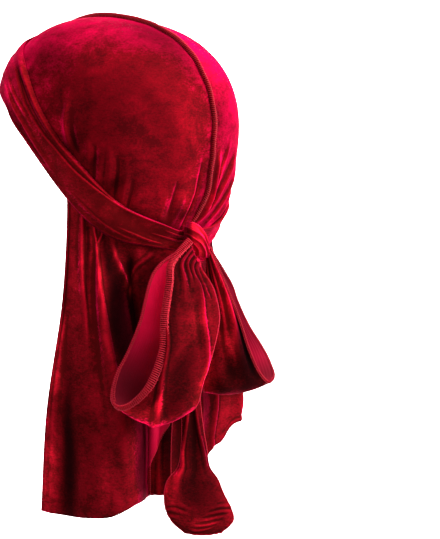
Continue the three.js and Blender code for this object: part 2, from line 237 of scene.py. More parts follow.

# %% [markdown]
# ## From grid to cloth
#
# A grid turns into a mesh of quads. What the materials need is stored with it: a UV map in metres, so that
# the ribs of the knit run with the cloth, and how sharply the cloth bends, which the velvet turns into a
# painted highlight over a sharp bend and painted shade in a hollow. A Solidify modifier then gives the sheet
# its thickness, with the knit back as a second material.


# %% How sharply cloth bends
def bending(points, reach):
    """How far each point stands out from the middle of its neighbours, times 2 and divided by the square of
    their distance, which is 1 / radius in mm. Of the rows' way and the columns' way the more strongly bent
    one counts: positive on a crest and negative in a hollow."""
    result = np.zeros((2,) + points.shape[:2])
    n = normals(points)
    for axis in (0, 1):
        i = np.arange(points.shape[axis])
        ahead = points.take(np.minimum(i + reach, i[-1]), axis)
        behind = points.take(np.maximum(i - reach, 0), axis)
        spread = np.linalg.norm(ahead - points, axis=-1) * np.linalg.norm(behind - points, axis=-1)
        bend = ((2 * points - ahead - behind) * n).sum(-1) / np.maximum(spread, 0.5)
        rim = np.minimum(i, i[-1] - i) < reach
        bend[(slice(None),) * axis + (rim,)] = 0
        result[axis] = bend
    return np.where(abs(result[0]) > abs(result[1]), result[0], result[1])


roll = np.radians(np.arange(0, 90, 5))[:, None]
tube = np.stack(np.broadcast_arrays(10 * np.cos(roll), 10 * np.sin(roll), np.arange(9.0)), -1)
print("a tube of 10 mm radius bends by", bending(tube, 2)[9, 4].round(3))


# %% From grid to mesh
def grid_faces(rows, columns):
    """The corner numbers of all quads of a grid of points."""
    number = np.arange(rows * columns).reshape(rows, columns)
    corners = [number[:-1, :-1], number[1:, :-1], number[1:, 1:], number[:-1, 1:]]
    return np.stack(corners, -1).reshape(-1, 4)


print("3 by 4 points are the corners of", len(grid_faces(3, 4)), "quads")


def make_piece(name, vertices, faces, materials):
    """An object at the origin whose mesh is the vertices, given in mm round the head, riding on the root."""
    mesh = bpy.data.meshes.new(name)
    mesh.from_pydata((vertices.reshape(-1, 3) + HEAD_CENTRE) / 1000, [], faces)
    mesh.polygons.foreach_set("use_smooth", np.ones(len(mesh.polygons), bool))
    mesh.update()
    piece = bpy.data.objects.new(name, mesh)
    for material in materials:
        mesh.materials.append(material)
    bpy.context.scene.collection.objects.link(piece)
    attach(piece, "root")
    return piece


def lengths(points, axis):
    """How far each row or column lies from the first one, on average, along the cloth."""
    step = np.linalg.norm(np.diff(points, axis=axis), axis=-1).mean(1 - axis)
    return np.concatenate([[0], np.cumsum(step)])


# %% [markdown]
# ## The lie of the pile, and painted light
#
# Stroke velvet with a hand, and a darker or lighter patch stays behind, because its pile now leans another
# way. Such patches are as much a part of this cloth as its folds. We could paint them on an image, but a few
# soft spots in the cloth's own two directions stay with it, whatever its shape. The same spots also carry
# painted shade where little light falls and painted highlights where much light falls.


# %% The lie of the pile, and painted light
TONE_AND_LIGHT_LIMITS = (-4.2, 2)


def tone_and_light_map(shape, patches):
    """How much lighter or darker the cloth looks, in stops (doublings), from the lie of the pile and from
    painted light and shade. It is a sum of soft patches: each has a middle, half lengths down and across,
    and fades as exp of minus the distance in half lengths squared. A slow wave bends their outlines."""
    down, across = shares(shape[0] - 1, shape[1] - 1)
    down = down + 0.01 * np.sin(11 * across + 23 * down)
    across = across + 0.005 * np.sin(17 * down + 3) + 0.003 * np.sin(41 * down + 5 * across)
    tone_and_painted_light = np.zeros(shape)
    for middle_down, middle_across, half_down, half_across, stops in patches:
        far = ((down - middle_down) / half_down) ** 2 + ((across - middle_across) / half_across) ** 2
        tone_and_painted_light += stops * np.exp(-far)
    return np.clip(tone_and_painted_light, *TONE_AND_LIGHT_LIMITS)


def store(piece, name, values):
    """Keeps one number per point with the mesh, where a material can read it."""
    piece.data.attributes.new(name, "FLOAT", "POINT").data.foreach_set("value", np.ravel(values))


print("one patch, row by row:", tone_and_light_map((5, 5), [[0.5, 0.5, 0.3, 0.3, 1]])[:, 2].round(2).tolist())


# %% [markdown]
# ## A sheet of cloth
#
# Everything that a sheet needs comes together here. Its thickness goes inward from the grid, so the grid is
# its right side, and the Solidify modifier gives the wrong side the second material.


# %% A sheet of cloth
def make_cloth(name, points, materials, slot, thickness, patches, reach=3, inside=()):
    """A sheet from a grid whose normals point to its right side, with its UV map, attributes and thickness.
    Patches are for the lie of the pile and painted light and shade of the right side, and inside for painted
    light and shade of the wrong side."""
    faces = grid_faces(*points.shape[:2])
    piece = make_piece(name, points, faces, materials)
    uv = np.stack(np.meshgrid(lengths(points, 0), lengths(points, 1), indexing="ij"), -1).reshape(-1, 2)
    piece.data.uv_layers.new(name="cloth").data.foreach_set("uv", uv[faces.ravel()].ravel() / 1000)
    store(piece, "bending", bending(points, reach))
    store(piece, "tone_and_painted_light", tone_and_light_map(points.shape[:2], patches))
    store(piece, "painted_light_inside", tone_and_light_map(points.shape[:2], inside))
    wall = piece.modifiers.new("thickness", "SOLIDIFY")
    wall.thickness, wall.offset, wall.material_offset = thickness / 1000, -1, 1
    print(name, points.shape[:2], "points", [round(lengths(points, k)[-1]) for k in (0, 1)], "mm", end=" ")
    area = np.linalg.norm(np.cross(np.diff(points, axis=0)[:, :-1], np.diff(points, axis=1)[:-1]), axis=-1)
    print("area", round(area.sum() / 1e6, 4), "m2")
    return piece


# %% [markdown]
# ## Colours and nodes
#
# Screen colours are written as hex values, and shaders work in linear light, so one function turns the
# first into the second. Another one adds a shader node with its settings and links.


# %% Colours and nodes
def colour(hex_value):
    """An sRGB hex value as linear red, green, blue and alpha: divided by 12.92 when dark, otherwise
    ((c + 0.055) / 1.055) to the power 2.4."""
    c = np.array([int(hex_value[k : k + 2], 16) for k in (1, 3, 5)]) / 255
    return (*np.where(c <= 0.04045, c / 12.92, ((c + 0.055) / 1.055) ** 2.4), 1)


def add_node(tree, kind, inputs=(), **settings):
    """Adds a shader node. Each input is a socket's name or number, and its value, or the output or the node
    that is linked to it. A node stands for its first output."""
    node = tree.nodes.new("ShaderNode" + kind)
    for name, value in settings.items():
        setattr(node, name, value)
    for socket, value in dict(inputs).items():
        if isinstance(value, bpy.types.Node):
            value = value.outputs[0]
        if isinstance(value, bpy.types.NodeSocket):
            tree.links.new(value, node.inputs[socket])
        else:
            node.inputs[socket].default_value = value
    return node


def new_material(name):
    """An empty material and its node tree."""
    material = bpy.data.materials.new(name)
    material.use_nodes = True
    material.node_tree.nodes.clear()
    return material, material.node_tree


print("the deepest red in linear light:", np.round(colour("#340304")[:3], 4).tolist())

# %% [markdown]
# ## The pattern of crushed velvet
#
# This is crushed stretch velvet: polyester pile on a knit ground, steamed while it is pressed, so that the
# pile lies in patches, each leaning its own way. Three sizes of noise give that: patches of about 20 mm,
# streaks of 5 mm, and tufts. A picture of real cloth would show a seam where it repeats, and noise doesn't.


# %% The pattern of crushed velvet
def crush_pattern(tree, patch, tufted):
    """The patches and the tufts, both from 0 to 1, and a mottle of streaks and tufts that lies round 0. Patch
    is the patches' size in mm, and tufted says how much the tufts count in the mottle."""
    here = add_node(tree, "TexCoord").outputs["Object"]
    crushed = {"Vector": here, "Scale": 1000 / patch, "Detail": 5, "Roughness": 0.6, "Distortion": 0.35}
    crush = add_node(tree, "TexNoise", crushed)
    # Fibres stand 0.1 mm apart; tufts of 1.1 mm, drawn out along the courses of the knit, are the finest
    # that still show.
    courses = add_node(tree, "Mapping", {"Vector": here, "Scale": (0.55, 0.55, 1)})
    tufted_pile = {"Vector": courses, "Scale": 1000 / 1.1, "Detail": 2, "Roughness": 0.7}
    tufts = add_node(tree, "TexNoise", tufted_pile)
    wiped_pile = {"Vector": courses, "Scale": 1000 / 5, "Detail": 3, "Distortion": 0.6}
    streaks = add_node(tree, "TexNoise", wiped_pile)
    streaks = add_node(tree, "Math", {0: streaks, 1: 0.45, 2: -0.225}, operation="MULTIPLY_ADD")
    specks = add_node(tree, "Math", {0: tufts, 1: tufted, 2: -tufted / 2}, operation="MULTIPLY_ADD")
    mottle = add_node(tree, "Math", {0: streaks, 1: specks}, operation="ADD")
    return crush, tufts, mottle


# %% [markdown]
# ## The colour of the pile
#
# Looked at from in front, the eye sees between the fibres, and velvet is deep red. It is brighter in some
# patches. A fold's crest gets a painted highlight, a hollow gets painted shade, and the surface is painted
# lighter where it faces up and darker where it faces down. All of these are added to one share, which
# mixes the deep red with the bright one.


# %% The colour of the pile
def pile_colour(tree, deep, bright, crush, mottle):
    """The output of a mix of deep and bright. Its share is the sum of patches, mottle, a painted top light
    from how far the surface faces up, a painted highlight of 0.45 times the crests and painted shade of -0.7
    times the hollows, kept between 0 and 1."""
    # Map Range turns the range between sockets 1 and 2 into the range between sockets 3 and 4.
    bend = add_node(tree, "Attribute", attribute_name="bending").outputs["Fac"]
    # Painted highlight on the crests and painted shade in the hollows.
    crest = add_node(tree, "MapRange", {0: bend, 1: 0.06, 2: 0.4, 3: 0, 4: 1})
    hollow = add_node(tree, "MapRange", {0: bend, 1: -0.03, 2: -0.3, 3: 0, 4: 1})
    # Painted top light: lighter where the surface faces up, darker where it faces down.
    normal = add_node(tree, "SeparateXYZ", {0: add_node(tree, "NewGeometry").outputs["Normal"]})
    painted_top_light = add_node(tree, "MapRange", {0: normal.outputs["Z"], 1: -0.5, 2: 0.6, 3: -0.12, 4: 0.12})
    share = add_node(tree, "MapRange", {0: crush, 1: 0.33, 2: 0.7, 3: 0.03, 4: 0.38})
    share = add_node(tree, "Math", {0: share, 1: mottle}, operation="ADD")
    share = add_node(tree, "Math", {0: share, 1: painted_top_light}, operation="ADD")
    share = add_node(tree, "Math", {0: crest, 1: 0.45, 2: share}, operation="MULTIPLY_ADD")
    share = add_node(tree, "Math", {0: hollow, 1: -0.7, 2: share}, operation="MULTIPLY_ADD", use_clamp=True)
    # A Mix node that mixes colours takes them in sockets 6 and 7 and gives them out of output 2.
    reds = {0: share, 6: colour(deep), 7: colour(bright)}
    return add_node(tree, "Mix", reds, data_type="RGBA").outputs[2]


def painted_sheen(tree, starts, crush, mottle):
    """The share of the sheen painted into the base colour: 0 until the surface has turned away by starts, and
    0.9 from 0.85 on. Mottle and patches move that border, and the painted sheen is weaker where the pile in
    the patches is laid flat."""
    turned_away = add_node(tree, "LayerWeight", {"Blend": 0.5}).outputs["Facing"]
    turned_away = add_node(tree, "Math", {0: mottle, 1: 0.75, 2: turned_away}, operation="MULTIPLY_ADD")
    patchy = add_node(tree, "Math", {0: crush, 1: 0.3, 2: -0.15}, operation="MULTIPLY_ADD")
    turned_away = add_node(tree, "Math", {0: turned_away, 1: patchy}, operation="ADD")
    rim = add_node(tree, "MapRange", {0: turned_away, 1: starts, 2: 0.85, 3: 0, 4: 0.9})
    standing = add_node(tree, "MapRange", {0: crush, 1: 0.38, 2: 0.6, 3: 0.42, 4: 1})
    return add_node(tree, "Math", {0: rim, 1: standing}, operation="MULTIPLY")


# %% [markdown]
# ## Velvet
#
# Looked at along the surface, the eye sees the fibres' sides, and every edge of a form glows: that is the
# sheen of velvet. The shader's own sheen is made for a fine dust of fibres and alone is too faint here, so
# a sheen colour is painted into the base colour as well, where the surface turns away from the view. The
# lie of the pile and painted light and shade then make it all lighter or darker.


# %% Velvet
def velvet(name, deep, bright, painted_sheen_colour, patch, starts, tufted=0.9):
    """Crushed velvet: deep where we look into it, bright in its patches, and with a painted sheen where it
    turns away. Its brightness is multiplied by 2 to the power of the lie of the pile and of painted light and
    shade, which is uneven from patch to patch."""
    material, tree = new_material(name)
    crush, tufts, mottle = crush_pattern(tree, patch, tufted)
    pile = pile_colour(tree, deep, bright, crush, mottle)
    sheen = painted_sheen(tree, starts, crush, mottle)
    # The sheen is painted into the base colour by this mix.
    shade = add_node(tree, "Mix", {0: sheen, 6: pile, 7: colour(painted_sheen_colour)}, data_type="RGBA").outputs[2]
    # Painted light and shade, with the lie of the pile, scale the colour by 2 to the power of their stops.
    tone_and_painted_light = add_node(tree, "Attribute", attribute_name="tone_and_painted_light").outputs["Fac"]
    uneven = add_node(tree, "MapRange", {0: crush, 1: 0.38, 2: 0.62, 3: 0.8, 4: 1.2})
    stops = add_node(tree, "Math", {0: tone_and_painted_light, 1: uneven}, operation="MULTIPLY")
    tone_and_light_factor = add_node(tree, "Math", {0: 2, 1: stops}, operation="POWER")
    shade = add_node(tree, "VectorMath", {0: shade, "Scale": tone_and_light_factor}, operation="SCALE")
    dents = add_node(tree, "Bump", {"Strength": 0.35, "Distance": 0.001, "Height": crush})
    relief = {"Strength": 0.4, "Distance": 0.0004, "Height": tufts, "Normal": dents}
    look = {"Base Color": shade, "Roughness": 0.9, "IOR": 1.45, "Specular IOR Level": 0.02}
    look |= {"Sheen Weight": 0.12, "Sheen Roughness": 0.4, "Sheen Tint": colour("#ff1050")}
    look |= {"Normal": add_node(tree, "Bump", relief)}
    add_node(tree, "OutputMaterial", {0: add_node(tree, "BsdfPrincipled", look)})
    print(name, "has", len(tree.nodes), "nodes")
    return material


# Copies of one velvet, toned lighter or darker per piece as painted light and shade: knot lightest, bow
# darkest.
crown_velvet = velvet("crushed_velvet_crown", "#440307", "#a00418", "#dc0044", 24, 0.3, 0.6)
band_velvet = velvet("crushed_velvet_band", "#4c0508", "#960616", "#c4043c", 16, 0.36)
bow_velvet = velvet("crushed_velvet_bow", "#340304", "#8c0516", "#d4043c", 18, 0.42)
cape_velvet = velvet("crushed_velvet_cape", "#400406", "#98061a", "#c4043c", 20, 0.46)
knot_velvet = velvet("crushed_velvet_knot", "#70060f", "#c40c28", "#f00c50", 6, 0.3)

# %% [markdown]
# ## The knit back
#
# The wrong side of the velvet is its ground: polyester knit, smooth and without pile, so it stays bright and
# even from everywhere. Fine ribs run along the cloth where the columns of stitches lie.

# %% The knit back
knit_back, tree = new_material("knit_polyester_back")
cloth_map = add_node(tree, "UVMap", uv_map="cloth").outputs["UV"]
# Columns of knit stitches stand 0.8 mm apart; they are drawn 1.6 mm apart so that they show. The Wave
# texture has 3.183 bands to a unit.
rib = {"Vector": cloth_map, "Scale": 1000 / 1.6 / 3.183, "Distortion": 0.6, "Detail": 1}
ribs = add_node(tree, "TexWave", rib, bands_direction="Y")
dye = add_node(tree, "TexNoise", {"Vector": cloth_map, "Scale": 60, "Detail": 3})
reds = {0: dye, 6: colour("#cc0030"), 7: colour("#f80a4a")}
shade = add_node(tree, "Mix", reds, data_type="RGBA").outputs[2]
# Painted light and shade: the knit is painted darker where the inside of a piece lies in shadow.
tone_and_painted_light = add_node(tree, "Attribute", attribute_name="painted_light_inside").outputs["Fac"]
shadow = add_node(tree, "Math", {0: 2, 1: tone_and_painted_light}, operation="POWER")
shade = add_node(tree, "VectorMath", {0: shade, "Scale": shadow}, operation="SCALE")
look = {"Base Color": shade, "Roughness": 0.75, "IOR": 1.5, "Specular IOR Level": 0.08}
look |= {"Sheen Weight": 0.08, "Sheen Roughness": 0.4, "Sheen Tint": colour("#ff2a5a")}
look |= {"Normal": add_node(tree, "Bump", {"Strength": 0.35, "Distance": 0.0002, "Height": ribs})}
add_node(tree, "OutputMaterial", {0: add_node(tree, "BsdfPrincipled", look)})
print(knit_back.name, "has", len(tree.nodes), "nodes")

# %% [markdown]
# ## Overlock thread
#
# The edges are bound with textured polyester thread, twisted and slightly glossy. The twist shows as fine
# slanting lines, and the thread is a little lighter than the velvet it crosses.


# %% Overlock thread
def spun_thread(name, dark, light):
    """Polyester thread whose twist changes its colour between the two."""
    material, tree = new_material(name)
    here = add_node(tree, "TexCoord").outputs["Object"]
    # Real twist repeats each 0.5 mm; it is drawn each 1 mm.
    twist = add_node(tree, "TexNoise", {"Vector": here, "Scale": 1000, "Detail": 1, "Distortion": 0.5})
    reds = {0: twist, 6: colour(dark), 7: colour(light)}
    shade = add_node(tree, "Mix", reds, data_type="RGBA").outputs[2]
    look = {"Base Color": shade, "Roughness": 0.6, "IOR": 1.55, "Specular IOR Level": 0.15}
    look |= {"Sheen Weight": 0.1, "Sheen Tint": colour("#ff2a48")}
    look |= {"Normal": add_node(tree, "Bump", {"Strength": 0.5, "Distance": 0.0001, "Height": twist})}
    add_node(tree, "OutputMaterial", {0: add_node(tree, "BsdfPrincipled", look)})
    print(name, "has", len(tree.nodes), "nodes")
    return material


bow_thread = spun_thread("spun_polyester_thread_red", "#70030e", "#cc1430")
seam_thread = spun_thread("spun_polyester_thread_maroon", "#54060e", "#b4182a")

# %% [markdown]
# ## Overlock stitches
#
# An overlock machine trims the edge of the cloth and wraps it in thread. Seen close, the edge is a ladder:
# threads cross it side by side, and a needle thread runs along their inner ends. Each crossing is a thin
# tube bent round the edge. A bump map could draw it, but only real threads stand up against the light.


# %% Tubes of thread
# The distance between two threads, the radii of the thick and of the thin thread, and the sides of a tube.
THREAD = {"pitch": 1.5, "radius": 0.42, "thin": 0.22, "sides": 5}


def unit(vectors, *others):
    """Vectors of length 1, made square to the others first by taking away their shares along them."""
    for other in others:
        vectors = vectors - (vectors * other).sum(-1, keepdims=True) * other
    return vectors / np.linalg.norm(vectors, axis=-1, keepdims=True)


def tubes(lines, side, radius, sides=THREAD["sides"]):
    """Closed tubes round many lines of equally many points. A ring of each tube is radius times
    (cos a times the side direction + sin a times the direction square to that and to the line)."""
    ahead = np.gradient(lines, axis=1)
    up = unit(np.cross(ahead, side))
    across = unit(np.cross(up, ahead))
    angle = np.linspace(0, 2 * np.pi, sides, endpoint=False)[:, None]
    rings = lines[:, :, None] + radius * (np.cos(angle) * across[:, :, None] + np.sin(angle) * up[:, :, None])
    count, steps = lines.shape[:2]
    number = np.arange(count * steps * sides).reshape(count, steps, sides)
    turn = np.roll(number, -1, axis=2)
    corners = [number[:, :-1], turn[:, :-1], turn[:, 1:], number[:, 1:]]
    walls = np.stack(corners, -1).reshape(-1, 4).tolist()
    caps = number[:, 0, ::-1].tolist() + number[:, -1].tolist()
    return rings.reshape(-1, 3), walls + caps


def resample(points, spacing):
    """Positions along a line of points, evenly spaced by distance, as fractions of its point numbers."""
    reach = np.concatenate([[0], np.cumsum(np.linalg.norm(np.diff(points, axis=0), axis=-1))])
    count = max(int(reach[-1] / spacing), 2)
    return np.interp((np.arange(count) + 0.5) / count * reach[-1], reach, np.arange(len(points)))


def blend_rows(points, at):
    """A line of points read at fractions of its point numbers."""
    k = np.clip(at.astype(int), 0, len(points) - 2)
    return points[k] + (at - k)[:, None] * (points[k + 1] - points[k])


line = np.array([[0.0, 0, 0], [3, 0, 0], [12, 0, 0]])
print("a line of 12 mm has places for", len(resample(line, THREAD["pitch"])), "threads")

# %% [markdown]
# ## A ladder along an edge
#
# At each stitch we need three directions that are square to each other: along the edge, in from it over the
# cloth, and up out of the cloth. The thread's way round the edge is then a short list of steps in these
# directions, and all stitches of an edge are worked out at once.


# %% A ladder along an edge
def overlock(name, edge, inside, right_side, slot, thickness, bites, radius):
    """A ladder of threads along an edge: each goes from its bite on the right side over the edge to the wrong
    side, leaning a little along it. Two needle threads close the ladder, one on either side of the cloth.
    Bites are pairs of a share of the edge and the bite there."""
    at = resample(edge, THREAD["pitch"])
    bite = np.interp(at / (len(edge) - 1), *np.transpose(bites))[:, None]
    place = blend_rows(edge, at)
    along = unit(blend_rows(np.gradient(edge, axis=0), at))
    inward = unit(blend_rows(inside, at) - place, along)
    up = unit(blend_rows(right_side, at), along, inward)
    middle = -thickness / 2
    # The thread sinks into the pile by a little less than half its radius.
    stand = thickness / 2 + radius * 0.55
    # share of the bite, in from the edge, up from the middle of the cloth, and on along the edge
    course = np.array(
        [
            [1, 0.3, stand - 0.8, 0.45],
            [1, -0.2, stand, 0.4],
            [0.45, 0, stand + 0.15, 0.15],
            [0, 0.1, stand * 0.9, 0],
            [0, -0.45, 0, -0.1],
            [0, 0.1, -stand * 0.9, -0.2],
            [0.5, 0, -stand, -0.35],
            [1, 0.1, -stand + 0.7, -0.45],
        ]
    )
    shares_of_bite, extra, height, on = course.T
    # No two bites are quite alike, and the needle threads dip between the stitches.
    uneven = 0.12 * np.sin(2.4 * np.arange(len(place)))[:, None] * bite
    into = (bite + uneven) * shares_of_bite + extra
    lines = place[:, None] + into[..., None] * inward[:, None] + (height + middle)[:, None] * up[:, None]
    lines = lines + on[:, None] * THREAD["pitch"] * along[:, None] * 0.6
    vertices, faces = tubes(lines, np.broadcast_to(along[:, None], lines.shape), radius)
    wave = 0.22 * np.sin(np.linspace(0, np.pi * len(place), len(place)))[:, None]
    for face in (1, -1):
        rail = place + (bite + 0.1 + wave) * inward + (middle + face * (stand + 0.1)) * up
        more, walls = tubes(rail[None], np.broadcast_to(inward[None], (1,) + rail.shape), radius * 0.8)
        faces += [[corner + len(vertices) for corner in wall] for wall in walls]
        vertices = np.concatenate([vertices, more])
    piece = make_piece(name, vertices, faces, [bow_thread])
    print(name, len(place), "stitches")
    return piece


def edge_of(points, side):
    """The line of points along one side of a grid, the line four cells further in, and the normals there."""
    n = normals(points)
    if side == "last_row":
        return points[-1], points[-5], n[-1]
    edge, inside = {"first_column": (0, 4), "last_column": (-1, -5)}[side]
    return points[:, edge], points[:, inside], n[:, edge]


print("each stitch is a tube with", THREAD["sides"], "sides and a radius of", THREAD["radius"], "mm")


# %% [markdown]
# ## The band's chart
#
# The band starts over the forehead, runs down past the ear and ends low behind, where it is knotted. Every
# other piece hangs from it or tucks under it, so its edges come first: at each plan angle, the heights of its
# lower edge, its upper edge and the crown's rim behind it, and how full its pleats are.

# %% The band's chart
BAND_EDGES = [
    # plan angle, the heights of the lower edge, the upper edge and the crown's rim, and the pleats' fullness
    [-90, 44, 74, 46, 0.3],
    [-70, 41, 73, 43, 0.3],
    [-50, 32, 67, 34, 0.4],
    [-33, 21, 58, 23, 0.6],
    [-24, 9, 51, 12, 0.8],
    [-13, -4, 38, 0, 0.9],
    [0, -22, 17, -11, 1],
    [12, -40, -1, -20, 1],
    [24, -57, -17, -33, 1],
    [35, -68, -33, -45, 1],
    [45, -74, -46, -54, 1.1],
    [55, -77, -54, -60, 1.4],
    [68, -80, -62, -67, 1.6],
    [76, -82, -66.5, -71, 1.2],
    [82, -83, -67, -73, 0.9],
    [93, -84, -67.5, -74, 0.9],
]


def rim_height(plan):
    """The height of the crown's rim at any plan angle, the same left and right."""
    return read_table(BAND_EDGES, np.where(plan <= 90, plan, 180 - plan))[3]


print("the crown's rim, front, side and back:", rim_height(np.array([-90, 0, 90])).round(), "mm")


# %% [markdown]
# ## The crown panels
#
# Two flat-cut panels meet over the middle of the head, and stretch makes them follow it. Each one is swept:
# a rib of cloth runs from the seam down to the rim along the shortest arc, and the ribs stand side by side
# from the forehead to the nape. Each panel is one grid, so its pattern follows the cloth.

# %% The crown panels
# The plan angles of the rim's two ends; then, in mm, how far the cloth lies over the form and beside the
# seam's middle, and its thickness. Crowding draws the rows together near the rim, where the folds are.
CROWN = {"front": -72, "back": 74, "lift": 1.5, "beside_seam": 0.9, "crowding": 1.3, "thickness": 1.1}


def seam_direction(share):
    """Unit directions over the middle of the head: an angle from the front rim over the top to the nape."""
    front = at_height(-90, rim_height(np.array(-90.0)), 0)
    nape = at_height(90, rim_height(np.array(90.0)), 0)
    start, end = np.arctan2(front[2], -front[1]), np.arctan2(nape[2], -nape[1]) + 2 * np.pi
    angle = start + (end - start) * np.asarray(share)
    return np.stack([0 * angle, -np.cos(angle), np.sin(angle)], -1)


def arc(start, end, share):
    """Directions on the shortest arc: sin((1-t)a)/sin(a) of one and sin(ta)/sin(a) of the other."""
    angle = np.arccos(np.clip((start * end).sum(-1), -1, 1))
    a, b = np.sin((1 - share) * angle) / np.sin(angle), np.sin(share * angle) / np.sin(angle)
    return a[..., None] * start + b[..., None] * end


KNOT_PULL = 6


def pull_to_knot(share):
    """How far the knot pulls the seam to the left in mm: all of it at the nape, and nothing further up."""
    return KNOT_PULL * ease(0.89, 0.99, share)


def crown_panel(side, folds, rows=120, columns=190):
    """A panel as a grid from the seam down to the rim and from front to back. Side is 1 for the left panel
    and -1 for the right one, whose rows run the other way so that it faces outward as well."""
    down, share = shares(rows, columns)
    plan = CROWN["front"] + (CROWN["back"] - CROWN["front"]) * share
    rim = unit(at_height(plan, rim_height(plan), 0))
    way_down = 1 - (1 - down) ** CROWN["crowding"]
    direction = arc(seam_direction(share), rim, way_down)
    points = on_form(direction, CROWN["lift"] + fold_lift(on_form(direction, 0), folds))
    points[..., 0] += CROWN["beside_seam"] * (1 - way_down)
    points[..., 0] *= side
    points[..., 0] += pull_to_knot(share) * (1 - way_down) ** 2
    return points[:: side]


print("the seam starts at", np.round(on_form(seam_direction(0.0), 0.0), 1), "mm from the head's centre")

# %% [markdown]
# ## The crown's folds
#
# Where the band pulls the cloth in, and where the knot gathers it, the panels carry folds. A ridge of 2 mm
# on a piece of cloth that is 200 mm long doesn't look like much, but its shading makes the cloth look soft.

# %% The crown's folds
LEFT_CROWN_FOLDS = [
    # plan angle and height of the start, the middle and the end, then height and both half widths
    [19.4, 30, 16.2, 9, 22.6, -13, 2.2, 3.4, 1.2],
    [21.4, 26, 19.6, 8, 25.6, -16, -1.2, 1.2, 2.4],
    [28.4, 2, 29.4, -10, 28, -26, 1.1, 2.6, 2],
    [33, 0, 32.6, -14, 31, -34, -1.1, 1.4, 2.2],
    [36.2, -6, 35.6, -18, 33.6, -36, 1, 2.6, 2],
    [40.4, -4, 40, -20, 38.2, -41, 1.2, 3, 2],
    [44, -8, 43.6, -25, 41.2, -47, -1.5, 1.7, 2.6],
    [49, -20, 47, -34, 44.8, -50, 1.1, 2.6, 1.6],
    [51.6, -24, 50, -37, 47.8, -53, -1, 1.2, 2],
    [83.6, -30, 80, -48, 77, -68, 1.5, 6, 3],
    [76.6, -36, 74, -50, 71, -65, 1.3, 6, 3],
    [73, -24, 70.4, -44, 68.6, -62, -1.2, 1.6, 2.4],
    [67, -34, 65.6, -48, 65, -61, 1.2, 5, 2.5],
    [85.2, -8, 83, -44, 79.6, -68, -1.4, 1.4, 1.8],
]
RIGHT_CROWN_FOLDS = [
    [66, -6, 79, -36, 88, -66, 3.2, 3, 2],
    [57, -18, 72, -46, 82, -69, 2.6, 2.6, 2],
    [47, -32, 62, -52, 76, -67, 2.2, 3, 2.6],
    [84.6, -6, 85.6, -36, 87, -66, 2.4, 2, 1.6],
    [75, 2, 82.6, -28, 87.6, -60, 1.5, 2.4, 1.6],
    [16, 28, 17, 8, 24, -14, 2, 4, 2],
    [30, 4, 29, -14, 31, -30, 1.8, 3, 2],
    [40, -6, 39, -24, 40, -42, 1.6, 3, 2],
]
left_panel, right_panel = crown_panel(1, LEFT_CROWN_FOLDS), crown_panel(-1, RIGHT_CROWN_FOLDS)
print("crown folds:", len(LEFT_CROWN_FOLDS), "left,", len(RIGHT_CROWN_FOLDS), "right")

# %% [markdown]
# ## The crown in velvet
#
# The panels get their pile: each row of a table is one patch where it looks lighter or darker, partly
# from the lie of the pile and partly as painted light and shade. The wrong side of the cloth, inside the
# crown, gets a single wide patch of painted shade that darkens all of it.

# %% The crown in velvet
# Patches of the pile's lie, mixed with painted shade and painted highlights.
LEFT_CROWN_TONE_AND_LIGHT = [
    # middle down and across, half lengths down and across, stops
    [0.02, 0.5, 0.17, 0.13, -1.2],
    [0.45, 0.4, 0.06, 0.06, -0.5],
    [0.2, 0.41, 0.08, 0.05, 0.65],
    [0.33, 0.915, 0.07, 0.014, -1.7],
    [0.43, 0.885, 0.06, 0.014, -1.5],
    [0.6, 0.35, 0.1, 0.1, 0.4],
    [0.62, 0.97, 0.14, 0.035, 1.2],
    [0.2, 0.38, 0.14, 0.12, -0.6],
    [0.14, 0.71, 0.1, 0.07, 0.7],
    [0.27, 0.86, 0.13, 0.07, 1.1],
    [0.62, 0.82, 0.13, 0.09, 0.9],
    [0.46, 0.66, 0.09, 0.06, 0.6],
    [0.66, 0.5, 0.1, 0.02, 0.9],
    [0.74, 0.56, 0.1, 0.022, -1.3],
    [0.72, 0.625, 0.09, 0.012, -0.9],
    [0.72, 0.7, 0.09, 0.018, -1.3],
    [0.06, 0.47, 0.07, 0.1, -0.6],
    [0.5, 0.36, 0.1, 0.06, -0.4],
    [0.32, 0.45, 0.09, 0.06, 0.5],
    [0.6, 0.88, 0.1, 0.035, 0.7],
    [0.3, 0.6, 0.05, 0.07, -0.5],
    [0.12, 0.92, 0.1, 0.07, -0.4],
    [0.34, 0.54, 0.08, 0.05, -0.3],
    [0.27, 0.66, 0.06, 0.05, -0.25],
]
RIGHT_CROWN_TONE_AND_LIGHT = [
    [0.3, 0.8, 0.4, 0.2, -0.4],
    [0.83, 0.81, 0.05, 0.03, 1],
    [0.35, 0.96, 0.16, 0.05, 0.9],
    [0.93, 0.9, 0.07, 0.035, 1.1],
    [0.75, 0.97, 0.12, 0.05, -0.6],
    [0.5, 0.87, 0.08, 0.05, 0.7],
    [0.95, 0.72, 0.05, 0.04, -0.9],
    [0.86, 0.68, 0.06, 0.04, -0.5],
    [0.8, 0.75, 0.06, 0.03, -0.6],
    [0.9, 0.79, 0.05, 0.025, 0.5],
    [0.7, 0.8, 0.06, 0.025, 0.4],
    [0.84, 0.86, 0.05, 0.025, -0.7],
    [0.96, 0.45, 0.06, 0.12, 0.6],
    [0.4, 0.3, 0.2, 0.2, 0.3],
    [0.7, 0.5, 0.2, 0.15, -0.4],
]
IN_SHADE = [[0.5, 0.5, 9, 9, -1]]
crown_looks = ([crown_velvet, knit_back], "velvet_crown", CROWN["thickness"])
crown_left = make_cloth("crown_left_velvet", left_panel, *crown_looks, LEFT_CROWN_TONE_AND_LIGHT, inside=IN_SHADE)
crown_right = make_cloth("crown_right_velvet", right_panel, *crown_looks, RIGHT_CROWN_TONE_AND_LIGHT, inside=IN_SHADE)
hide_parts("crown_left")
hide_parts("crown_right")

